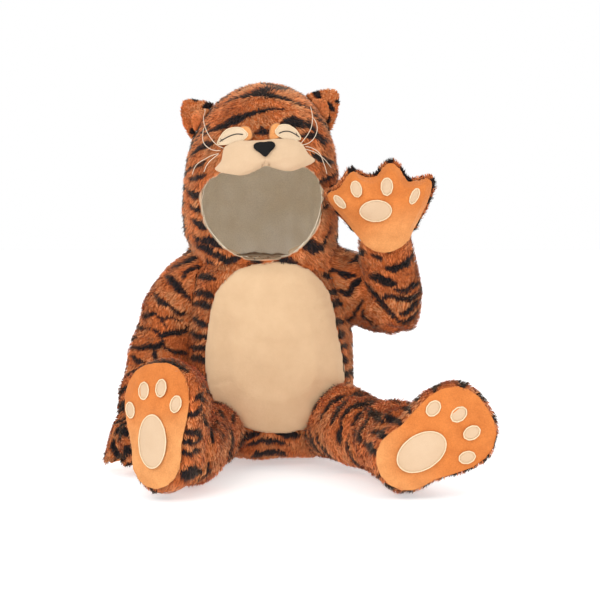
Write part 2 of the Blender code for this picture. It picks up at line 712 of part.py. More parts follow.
def make_face():
    """Muzzle, nose, eye patches and whiskers, each made from the hood's points moved out."""
    hood = front_of(HOOD)
    edge = outline(MUZZLE, 36, mirrored=True)
    muzzle_share = share_out(edge, MUZZLE_MIDDLE)

    def muzzle_thick(share, x, z):
        cleft = 0.35 * np.exp(-((x / 0.006) ** 2)) * np.clip((0.366 - z) / 0.012, 0, 1)
        return 0.003 + MUZZLE_RISE * (1 - share**2.2) * (1 - cleft)

    def muzzle_top(x, z):
        return hood(x, z) + 2 * CLEAR + muzzle_thick(np.clip(muzzle_share(x, z), 0, 1), x, z)

    sheet(
        "muzzle", edge, MUZZLE_MIDDLE, lambda x, z: hood(x, z) + 2 * CLEAR, muzzle_thick, on_head, "cream_fleece",
        (1.0, 0.8, 0.35),
    )
    sheet(
        "nose",
        outline(NOSE, 18, mirrored=True),
        NOSE_MIDDLE,
        lambda x, z: muzzle_top(x, z) + 2 * SEAM,
        lambda share, x, z: 0.0015 + 0.003 * (1 - share**2) + 0 * x,
        on_head,
        "black_satin",
        (1.0, 0.5),
    )
    for side, word in ((-1, "left"), (1, "right")):
        corner = Pad(side * 0.0130 - 0.001, 0.3990, 0.0040, 0.0070, 0)
        sheet(
            f"eye_corner_{word}", ellipse(corner, 10), (corner.x, corner.y),
            lambda x, z: hood(x, z) + SEAM, flat_thick(0.001), on_head, "orange_plush", (1.0, 0.5),
        )
        eye = Pad(side * 0.0325 - 0.002, 0.3970, 0.0165, 0.0070, side * -14)
        sheet(
            f"eye_patch_{word}", ellipse(eye, 16), (eye.x, eye.y),
            lambda x, z: hood(x, z) + 0.001 + 2 * SEAM, flat_thick(SATIN), on_head, "cream_satin", (1.0, 0.4),
        )
        make_whiskers(side, word, hood, muzzle_top)


def make_whiskers(side, word, hood, muzzle_top):
    """Four whiskers fused into the small knot that roots them on the end of the muzzle."""
    knot = Pad(side * 0.0470, 0.3735, 0.0034, 0.0040, 0)
    piece = sheet(
        f"whiskers_{word}", ellipse(knot, 8), (knot.x, knot.y),
        lambda x, z: muzzle_top(x, z) + 2 * SEAM, flat_thick(0.0035), on_head, "cream_satin", (1.0, 0.5),
    )
    for route in WHISKERS:
        flat = catmull(route, 5)
        x, z = side * flat[:, 0], 0.3695 + flat[:, 1]
        root = muzzle_top(x[:1], z[:1])[0] + 2 * SEAM + 0.0018
        away = np.linspace(0, 1, len(x))
        depth = np.maximum(hood(x, z), 0.040) + 0.008
        height = root * (1 - away) ** 2 + depth * (1 - (1 - away) ** 2)
        height = np.maximum(height, hood(x, z) + 0.004)
        middle = on_head(np.stack([x, z, height], 1))
        rows = np.column_stack([middle, np.full((len(x), 2), WHISKER)])
        combine(piece, solid("whisker", limb_rings(rows, len(x), 4, (0.0, -1.0, 0.0))), "UNION")


def make_mitt(name, stance, sleeve):
    """Fur back, plush palm and pads of one mitt. The wrist end of both passes round the sleeve."""
    points = [(r * math.cos(math.radians(a)), r * math.sin(math.radians(a))) for r, a in PAW_MITT]
    edge = outline(points, 34)
    middle = (0.0, 0.0)
    share = share_out(edge, middle)
    place = stance_place(stance)

    def lift(x, y, full=1.0):
        """Height of a side over the mitt's middle plane. Its wrist end passes round the sleeve."""
        here = full + (1 - full) * np.clip((0.02 - y) / 0.04, 0, 1)
        dome = PALM_RISE * here * (1 - np.clip(share(x, y), 0, 1) ** 2.4) ** 0.8
        arch = np.sqrt(np.clip(WRIST_RISE**2 - x * x, 0, None))
        wrist = np.clip((-y - 0.014) / 0.024, 0, 1)
        wrist = wrist * wrist * (3 - 2 * wrist)
        return dome * (1 - wrist) + arch * wrist

    levels = (1.0, 0.86, 0.45)
    palm = sheet(
        f"{name}_palm",
        edge,
        middle,
        lambda x, y: lift(x, y, stance.full) + SEAM / 2,
        flat_thick(PLUSH),
        place,
        "orange_plush",
        levels,
    )
    rim = edge * RIM

    def other_side(points):
        return place(points * np.array((1, 1, -1)))

    back = sheet(
        f"{name}_back",
        rim,
        middle,
        lambda x, y: lift(x, y) + SEAM / 2,
        flat_thick(FUR),
        other_side,
        "tiger_fur",
        (1.0, 1 / RIM, *levels[1:]),
    )
    for piece in (palm, back):
        combine(piece, sleeve, "DIFFERENCE", keep_tool=True)
        keep_largest(piece)
    add_pads(name, MITT_PADS, palm, place)


def make_shoe(name, stance, leg):
    """Fur upper with its shaft, plush sole and pads of one shoe cover."""
    edge = outline(SOLE, 26, mirrored=True)
    place = stance_place(stance)
    loose = FUR + SHAFT_EASE
    shaft_rows = [row._replace(side=row.side + loose, face=row.face + loose) for row in leg[:-4:-1]]
    ankle, above = Vector(leg[-1][:3]), Vector(leg[-2][:3])
    onward = (ankle - above).normalized()
    level = shaft_rows[0]
    shaft_rows[0] = Ring(*(ankle + onward * SHAFT_LEVEL), level.side, level.face)
    shaft_rows.insert(0, Ring(*(ankle + onward * SHAFT_REACH), SHAFT_END, SHAFT_END))

    def foot(name, inset, ahead=()):
        """The closed shape of the foot, inset from the outside of the upper."""
        rings = []
        for share, depth in (*SHOE_SHAPE, *ahead):
            bulge = SHOE_BULGE * math.sin(math.pi * depth / 0.9) if 0 < depth < 0.9 else 0.0
            scaled = edge * share * (1 + (bulge - inset * min(1.0, 1.4 * share)) / 0.056)
            back = -(SHOE_DEPTH - inset) * depth if depth > 0 else -SHOE_DEPTH * depth
            rings.append(place(np.column_stack([scaled, np.full(len(edge), back)])))
        return solid(name, rings, "tiger_fur")

    def shaft(name, inset, ends):
        rings = limb_rings(shaft_rows, 4, 16, (0.0, 0.0, 1.0))
        return solid(name, lengthened(moved_out(rings, -inset), *ends))

    upper = combine(foot(f"{name}_upper", 0.0), shaft("shaft", 0.0, (0, 0)), "UNION")
    combine(upper, foot("hollow", FUR, ((0.985, -0.4),)), "DIFFERENCE")
    combine(upper, shaft("shaft_hollow", FUR, (0, 0.03)), "DIFFERENCE")
    keep_largest(upper)
    share = share_out(edge, (0.0, 0.0))

    def rise(x, y):
        return SEAM + SOLE_RISE * (1 - np.clip(share(x, y), 0, 1) ** 2.2)

    sole = sheet(
        f"{name}_sole", edge * 0.985, (0.0, 0.0), rise, flat_thick(PLUSH), place, "orange_plush",
        (1.0, 0.75, 0.25),
    )
    add_pads(name, SOLE_PADS, sole, place)


def limb(name, tubes, facing, trunk_body, sides=16):
    """A hollow limb of one tube or of two that meet at the elbow, trimmed to the trunk. Each tube has a table,
    its folds, its ring count and how far its bore runs past both ends. Gives the bores, and the tubes without
    their folds, grown by that gap."""
    bores, clearances = [], []
    for rows, folds, count, ends in tubes:
        tube = solid(name, limb_rings(rows, count, sides, facing, folds), "tiger_fur")
        if bores:
            combine(outside, tube, "UNION")
        else:
            outside = combine(tube, trunk_body, "DIFFERENCE", keep_tool=True)
        inner = moved_out(limb_rings(rows, count, sides - 4, facing, folds), -FUR)
        bores.append(solid("bore", lengthened(inner, *ends)))
        grown = moved_out(limb_rings(rows, count, sides, facing), CLEAR)
        clearances.append(solid("clearance", lengthened(grown, CLEAR, CLEAR)))
    for bore in bores:
        combine(outside, bore, "DIFFERENCE", keep_tool=True)
    keep_largest(outside)
    return bores, clearances


def main():
    clear_scene()
    front, up = (0.0, -1.0, 0.0), (0.0, 0.0, 1.0)
    trunk_body = body_to_trim()
    left_sleeve = limb("sleeve_left", [(LOWERED_SLEEVE, LOWERED_FOLDS, 16, (0.002, 0.03))], front, trunk_body)
    elbow = [(RAISED_UPPER_ARM, UPPER_ARM_FOLDS, 9, (0.002, 0)), (RAISED_FOREARM, FOREARM_FOLDS, 8, (0, 0.03))]
    right_sleeve = limb("sleeve_right", elbow, front, trunk_body)
    left_leg = limb("leg_left", [(LEFT_LEG, LEFT_LEG_FOLDS, 12, (0.002, 0.02))], up, trunk_body)
    right_leg = limb("leg_right", [(RIGHT_LEG, RIGHT_LEG_FOLDS, 12, (0.002, 0.02))], up, trunk_body)
    limbs = (left_sleeve, right_sleeve, left_leg, right_leg)
    make_trunk([bore for bores, _ in limbs for bore in bores])
    make_hood([trunk_body, left_sleeve[1][0], right_sleeve[1][0]])
    make_mitt("mitt_left", LOWERED_MITT, left_sleeve[1][0])
    make_mitt("mitt_right", RAISED_MITT, right_sleeve[1][1])
    for side, stance, leg in (("left", LEFT_SHOE, LEFT_LEG), ("right", RIGHT_SHOE, RIGHT_LEG)):
        make_shoe(f"shoe_{side}", stance, leg)
    for helper in [trunk_body] + [tube for _, clearances in limbs for tube in clearances]:
        bpy.data.objects.remove(helper)
    costume = bpy.data.objects.new("costume", None)
    bpy.context.scene.collection.objects.link(costume)
    costume.location = -NECK
    for obj in bpy.context.scene.objects:
        if obj != costume:
            obj.parent = costume
            obj.data.shade_smooth()
            obj.data.set_sharp_from_angle(angle=math.radians(50))


main()
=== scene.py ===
"""The looks of a small plush tiger costume: striped pile fabric, plush palms and soles, a stuffed belly, a
satin lining and a sewn face. Metres, in the frame's own axes: the origin is the middle of the neck opening,
+Z is up, and the front faces -Y. Bars, creases and cuts are placed in millimetres and degrees."""

import math
from collections import namedtuple

import bmesh
import bpy
import numpy as np
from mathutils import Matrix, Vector
from mathutils.bvhtree import BVHTree
from mathutils.geometry import convex_hull_2d


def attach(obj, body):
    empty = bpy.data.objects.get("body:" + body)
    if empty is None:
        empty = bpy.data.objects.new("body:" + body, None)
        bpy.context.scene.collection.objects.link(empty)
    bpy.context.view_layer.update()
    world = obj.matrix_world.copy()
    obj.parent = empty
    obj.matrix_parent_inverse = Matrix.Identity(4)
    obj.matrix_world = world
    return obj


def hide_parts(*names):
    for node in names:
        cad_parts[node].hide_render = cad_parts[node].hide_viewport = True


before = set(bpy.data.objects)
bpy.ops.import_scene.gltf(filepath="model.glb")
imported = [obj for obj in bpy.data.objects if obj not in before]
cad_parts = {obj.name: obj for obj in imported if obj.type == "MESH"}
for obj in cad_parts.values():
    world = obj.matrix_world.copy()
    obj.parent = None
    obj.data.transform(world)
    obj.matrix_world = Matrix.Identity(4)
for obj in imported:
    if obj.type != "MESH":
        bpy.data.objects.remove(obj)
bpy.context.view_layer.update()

MM = 0.001
SEED = 11

# Camera, floor and lights
CAMERA_AT = Vector((0.044, -2.294, 0.106))
CAMERA_AIM = Vector((0.04375, 0.0, -0.05375))
CAMERA_LENS = 110.4
FLOOR = -0.2525

# Pile of the fur fabric
PILE = 2.3 * MM  # how far the backing lies under the pile's surface
STRAND = 6.0 * MM
STRAND_WIDTH = 1.2 * MM
FUR_STRANDS = 190000  # on the whole costume
NEIGHBOUR = 9.0 * MM  # where another piece of fur lies nearer than this, the backings reach out to each other
CROWDED = 3.0 * MM  # and where it lies nearer than this, no pile fits between
EAR_PILE = 1.2 * MM
EAR_LENGTH = 0.55  # of the ears' pile against the rest
EAR_DENSITY = 1.5  # and of its strands on each area
PATCH_STRANDS, PATCH_SEED = 1500, 77
NAP_DRIFT = 0.22  # how far the nap wanders from place to place
NAP_SPREAD = 0.20  # and from strand to strand
LIFT, LIFT_SPREAD = 0.55, 0.11  # how steeply the strands stand
BEND = 0.52  # a strand bends this far up
BEND_WIDTH = 0.72  # of its width at the root
BEND_TINT = 0.55  # of the way there from the roots' colours to the tips'
PRINT_AT = 0.55  # this far toward its tip, a strand takes its print
TUFT = 10  # strands to a tuft
TIP_PULL, BEND_PULL = 0.26, 0.08  # how far tips and bends are drawn to the tuft's middle
EAR_CORNERS = {"left": (-0.093, 0.0, 0.190), "right": (0.085, 0.0, 0.198)}  # the outer top corner, drawn out
EAR_TIP = 14 * MM
EAR_PULL = 5.0 * MM
MITT_LENGTH = 0.8  # of the mitts' pile against the rest
BULGE = 3.6 * MM  # of the fur past the edge of a sole
MITT_BULGE = 3.0 * MM  # and past the edge of a palm
BELLY_SKIRT = 1.6 * MM  # of the belly's edge into the pile
RIM = 0.75 * MM  # half thickness of the stitching round a pad
RIM_LIFT = 0.3 * MM
RIM_INSET = 0.985  # of the pad's own outline
RIM_POINTS = 44
ZIP_PITCH = 2.4 * MM
ZIP_POINTS = 330  # along each side of the coil
ZIP_END = 2 * MM  # of the tape, that the coil leaves bare
COIL_WIDE, COIL_LIFT, COIL_DEEP = 1.1 * MM, 1.4 * MM, 0.5 * MM
ZIP_MIDDLE = 0.0  # where the two backs meet
ZIP_FOOT = -0.209  # the tape's lower end
ZIP_REACH = 8 * MM  # this near the zip, the two backs don't reach out to each other
COVERED = 6.0 * MM  # pile is left out where another piece lies nearer than this over its root

# Middle lines of the tubes of cloth, and the way that each one's front looks
ROUTES = {
    "hood": ((-0.003, 0.004, -0.004), (-0.002, 0.006, 0.045), (0.007, 0.005, 0.105)),
    "sleeve_left": (
        (-0.060, 0.003, -0.028), (-0.088, 0.001, -0.038), (-0.109, -0.006, -0.065),
        (-0.123, -0.017, -0.096), (-0.131, -0.033, -0.127), (-0.137, -0.051, -0.152),
        (-0.140, -0.068, -0.172), (-0.141, -0.086, -0.188),
    ),
    "upper_arm": (
        (0.062, 0.002, -0.023), (0.095, -0.005, -0.032), (0.126, -0.020, -0.047), (0.150, -0.033, -0.057),
    ),
    "forearm": (
        (0.159, -0.037, -0.075), (0.158, -0.043, -0.055), (0.155, -0.051, -0.029), (0.150, -0.060, -0.002),
        (0.145, -0.066, 0.030),
    ),
    "leg_left": (
        (-0.050, -0.020, -0.199), (-0.065, -0.120, -0.206), (-0.080, -0.212, -0.205),
        (-0.088, -0.262, -0.2005),
    ),
    "leg_right": (
        (0.060, -0.018, -0.194), (0.107, -0.108, -0.198), (0.148, -0.198, -0.200), (0.163, -0.250, -0.199),
    ),
}
FRONT, UP = (0.0, -1.0, 0.0), (0.0, 0.0, 1.0)

# Where each mitt and shoe cover stands: its middle, its toes' direction, where its palm or sole looks, and
# whether it is mirrored
Stance = namedtuple("Stance", "middle up facing mirror")
STANCES = {
    "mitt_right": Stance((0.1425, -0.069, 0.0635), (-0.06, -0.16, 0.985), (0.0, -1.0, -0.16), 1),
    "mitt_left": Stance((-0.1420, -0.110, -0.1990), (-0.07, -0.77, -0.63), (0.60, 0.45, -0.65), -1),
    "shoe_left": Stance((-0.1115, -0.300, -0.1700), (-0.01, 0.20, 0.98), (-0.60, -0.78, 0.17), 1),
    "shoe_right": Stance((0.1905, -0.300, -0.1880), (0.845, 0.05, 0.53), (0.12, -0.98, 0.0), 1),
}
HEAD_YAW, HEAD_ROLL = math.radians(3.5), math.radians(-5)
HEAD_SHIFT = 0.007


def catmull(rows, count, closed=False):
    """count rows on the smooth curve through a table's rows."""
    rows = np.asarray(rows, float)
    n = len(rows)
    steps = np.linspace(0, n if closed else n - 1, count, endpoint=not closed)
    first = np.minimum(steps.astype(int), n - 1 if closed else n - 2)
    share = (steps - first)[:, None]
    picks = [first + k for k in (-1, 0, 1, 2)]
    a, b, c, d = [rows[k % n] if closed else rows[np.clip(k, 0, n - 1)] for k in picks]
    return 0.5 * (
        2 * b
        + (c - a) * share
        + (2 * a - 5 * b + 4 * c - d) * share**2
        + (3 * b - a - 3 * c + d) * share**3
    )


def unit(vectors):
    return vectors / np.maximum(np.linalg.norm(vectors, axis=-1, keepdims=True), 1e-12)


def smooth(low, high, value):
    """0 below low, 1 above high, and a soft step between."""
    share = np.clip((value - low) / (high - low), 0, 1)
    return share * share * (3 - 2 * share)


def waves(points, size, seed, count=10):
    """A soft random field between about -1 and 1, whose bumps are about that size."""
    draw = np.random.default_rng(seed)
    ways = unit(draw.normal(size=(count, 3)))
    ways = ways * (2 * math.pi / (size * draw.uniform(1.4, 2.8, count)))[:, None]
    total = np.zeros(len(points))
    for way, phase in zip(ways, draw.uniform(0, 2 * math.pi, count)):
        total += np.sin(points @ way + phase)
    return total / math.sqrt(count) * 1.1


# Places on a tube of cloth

# Metres along and round, the nearest point inside, and the way that the nap runs
Chart = namedtuple("Chart", "along across core down")


def tube_chart(route, facing, radius, fall=0.0):
    """Charts points near a tube: the distance along its middle line, and the distance round it from its
    front. Its nap runs along it, and downward by the fall."""
    line = catmull(route, 60)
    length = np.concatenate([[0], np.cumsum(np.linalg.norm(np.diff(line, axis=0), axis=1))])
    ways = unit(np.gradient(line, axis=0))

    def chart(points):
        gap = (points**2).sum(1)[:, None] - 2 * points @ line.T + (line**2).sum(1)[None]
        near = gap.argmin(1)
        way = ways[near]
        onward = ((points - line[near]) * way).sum(1)
        ends = ((near == 0) & (onward < 0)) | ((near == len(line) - 1) & (onward > 0))
        core = line[near] + way * np.where(ends, 0, onward)[:, None]
        side = unit(np.cross(way, facing))
        front = np.cross(side, way)
        out = points - core
        turn = np.arctan2((out * front).sum(1), (out * side).sum(1)) - math.pi / 2
        turn = (turn + math.pi) % (2 * math.pi) - math.pi
        return Chart(length[near] + onward, turn * radius, core, unit((1 - fall) * way - fall * np.array(UP)))

    return chart


TORSO_MIDDLE, TORSO_RADIUS = 0.004, 0.1
TORSO_FOOT, TORSO_TOP, SEAT = -0.175, -0.07, -0.245


def torso_chart(points):
    """Height above the seat, and the distance round the body from the middle of the front."""
    core = points * (0, 0, 1) + (TORSO_MIDDLE, 0, 0)
    core[:, 2] = np.clip(core[:, 2], TORSO_FOOT, TORSO_TOP)
    out = points - core
    turn = np.arctan2(out[:, 0], -out[:, 1])
    return Chart(points[:, 2] - SEAT, turn * TORSO_RADIUS, core, np.tile((0.0, 0.0, -1.0), (len(points), 1)))


def head_turn():
    """The head's roll, and then its yaw."""
    cos, sin = math.cos(HEAD_YAW), math.sin(HEAD_YAW)
    yaw = np.array(((cos, -sin, 0), (sin, cos, 0), (0, 0, 1)))
    cos, sin = math.cos(HEAD_ROLL), math.sin(HEAD_ROLL)
    return yaw @ np.array(((cos, 0, sin), (0, 1, 0), (-sin, 0, cos)))


HEAD_TURN = head_turn()


def to_head(points):
    """Points of the turned and tipped head as points of an upright one."""
    return (points - (HEAD_SHIFT, 0, 0)) @ HEAD_TURN


HEAD_MIDDLE = np.array((0.0, 0.004, 0.105))
HEAD_RADIUS = 0.105


def hood_chart(points):
    """The distance up over the head from the nose towards the nape, and across from the middle."""
    upright = to_head(points)
    out = upright - HEAD_MIDDLE
    pitch = np.arctan2(out[:, 2], -out[:, 1])
    pitch = np.where(pitch < -math.pi / 2, pitch + 2 * math.pi, pitch)
    line = catmull(ROUTES["hood"], 30)
    core = line[((points[:, None, 2] - line[None, :, 2]) ** 2).argmin(1)]
    down = np.column_stack([0.25 * out[:, 0], 0.35 * np.abs(out[:, 2]) + 0.02, -0.09 - 0 * out[:, 0]])
    return Chart(pitch * HEAD_RADIUS, out[:, 0], core, unit(down))


def local_frame(stance):
    """Rows across, up and out of a mitt or shoe cover, and its middle."""
    up, out = Vector(stance.up).normalized(), Vector(stance.facing)
    out = (out - up * out.dot(up)).normalized()
    across = up.cross(out) * stance.mirror
    return np.array([across, up, out]), np.array(stance.middle)


FALL = 0.65  # how much the nap of the legs and of the shafts of the shoe covers runs down
UPPER_ARM, FOREARM, ARM, LEG, THIGH = 0.043, 0.035, 0.042, 0.044, 0.048  # radii of the tubes
PAW_RADIUS = 0.055
SHAFT_START = 0.057  # the shaft of a shoe cover lies further than this behind the sole


def paw_chart(name):
    """The distance round a shoe cover's edge from its toes, and back from its sole. On a mitt, height and
    across."""
    rows, middle = local_frame(STANCES[name])
    mitt = name.startswith("mitt")
    depth = 0.010 if mitt else 0.026
    leg = None if mitt else tube_chart(ROUTES[name.replace("shoe", "leg")], UP, LEG, FALL)

    def chart(points):
        local = (points - middle) @ rows.T
        core = np.column_stack([0.55 * local[:, :2], np.full(len(points), -depth)]) @ rows + middle
        back = -local[:, 2]
        if mitt:
            return Chart(local[:, 1], local[:, 0], core, np.tile(rows[1], (len(points), 1)))
        turn = np.arctan2(local[:, 0], local[:, 1])
        down = unit(rows[2][None] * 0.35 + unit(local[:, :2] @ rows[:2]) * 0.35 - 0.75 * np.array(UP))
        shaft = leg(points)
        behind = back > SHAFT_START
        core = np.where(behind[:, None], shaft.core, core)
        down = np.where(behind[:, None], shaft.down, down)
        return Chart(turn * PAW_RADIUS, back, core, down)

    return chart


ELBOW = 0.120  # along the right sleeve, where the forearm's own distances start


def sleeve_right_chart(points):
    """The upper arm, and past the elbow the forearm, one after the other."""
    upper = tube_chart(ROUTES["upper_arm"], FRONT, UPPER_ARM)(points)
    fore = tube_chart(ROUTES["forearm"], FRONT, FOREARM)(points)
    off = np.linalg.norm(points - upper.core, axis=1) / UPPER_ARM
    far = off > np.linalg.norm(points - fore.core, axis=1) / FOREARM
    pick = far[:, None]
    return Chart(
        np.where(far, fore.along + ELBOW, upper.along),
        np.where(far, fore.across, upper.across),
        np.where(pick, fore.core, upper.core),
        np.where(pick, fore.down, upper.down),
    )


CHARTS = {
    "torso": torso_chart,
    "hood": hood_chart,
    "sleeve_left": tube_chart(ROUTES["sleeve_left"], FRONT, ARM),
    "sleeve_right": sleeve_right_chart,
    "leg_left": tube_chart(ROUTES["leg_left"], UP, LEG, FALL),
    "leg_right": tube_chart(ROUTES["leg_right"], UP, THIGH, FALL),
}
CHARTS.update((paw, paw_chart(paw)) for paw in STANCES)

# Bars of the striped print: where along the chart, from where to where round it, the half width, how much the
# bar's end lies further along than its start, and how far its middle bends. All in millimetres. A bar that
# winds is a tuple of rows instead, each a place along, a place round, and the half width there.
Bar = namedtuple("Bar", "at start end half slant bend", defaults=(0, 0))


def scattered(seed, low, high, step, reach, gap, half=3.4, slant=6, skip=lambda at, middle: False):
    """Bars like a tiger's over a hidden stretch: rows a step apart, broken into uneven lengths."""
    draw = np.random.default_rng(seed)
    bars = []
    at = low + step * 0.5
    while at < high:
        start = reach[0] + draw.uniform(-0.5, 0.7) * gap
        while start < reach[1] - 12:
            end = min(start + draw.uniform(0.8, 1.7) * gap * 2.2, reach[1])
            if not skip(at, (start + end) / 2):
                bars.append(
                    Bar(at + draw.uniform(-2.5, 2.5), start, end, half * draw.uniform(0.75, 1.25),
                        draw.uniform(-1, 1) * slant, draw.uniform(-1, 1) * 4)
                )
            start = end + draw.uniform(4, 10)
        at += step * draw.uniform(0.85, 1.15)
    return bars


TORSO_ROWS = (222, 201, 188, 167, 151, 136, 121, 101, 78, 58, 40, 22)
TORSO_HALVES = (3.4, 3.2, 3.6, 3.0, 3.4, 3.0, 3.6, 3.8, 3.4, 3.6, 3.2, 3.4)
TORSO_SIDE = [
    Bar(at, side * near, side * far, half, side * lean, 2)
    for side, near, far in ((-1, 116, 66), (1, 120, 84))
    for at, half, lean in zip(TORSO_ROWS, TORSO_HALVES, (4, 2, -3, 3, 2, -2) * 2)
]
SHOE_SHAFT = [
    Bar(at, back, back + 2, 4.0, lean)
    for back, lean, row in (
        (58, 40, (-80, -20, 40, 100)), (74, 44, (-44, 16, 76)), (90, 36, (-70, -8, 52, 110)),
    )
    for at in row
]
SHOE_SIDES = {
    side: [Bar(at, -4, 34 + far, half, lean) for at, far, lean, half in rows]
    for side, rows in (
        ("left", (
            (-164, 6, 4, 3.6), (-150, -4, -5, 4.6), (-132, 12, 3, 3.8), (-114, 2, -2, 5.0), (-92, -8, 4, 3.8),
            (-70, 9, -3, 4.2), (-50, 2, 3, 3.4),
        )),
        ("right", (
            (-52, 8, 3, 3.4), (-30, 2, -3, 3.2), (-8, 8, 4, 3.6), (14, -2, 3, 3.2), (34, 6, -3, 3.8),
            (52, 0, 5, 3.8), (69, 4, 0, 4.4), (87, -6, -4, 3.4), (105, 10, 2, 5.0), (124, -4, -3, 3.6),
            (143, 12, 3, 5.2), (160, 2, 4, 4.0),
        )),
    )
}
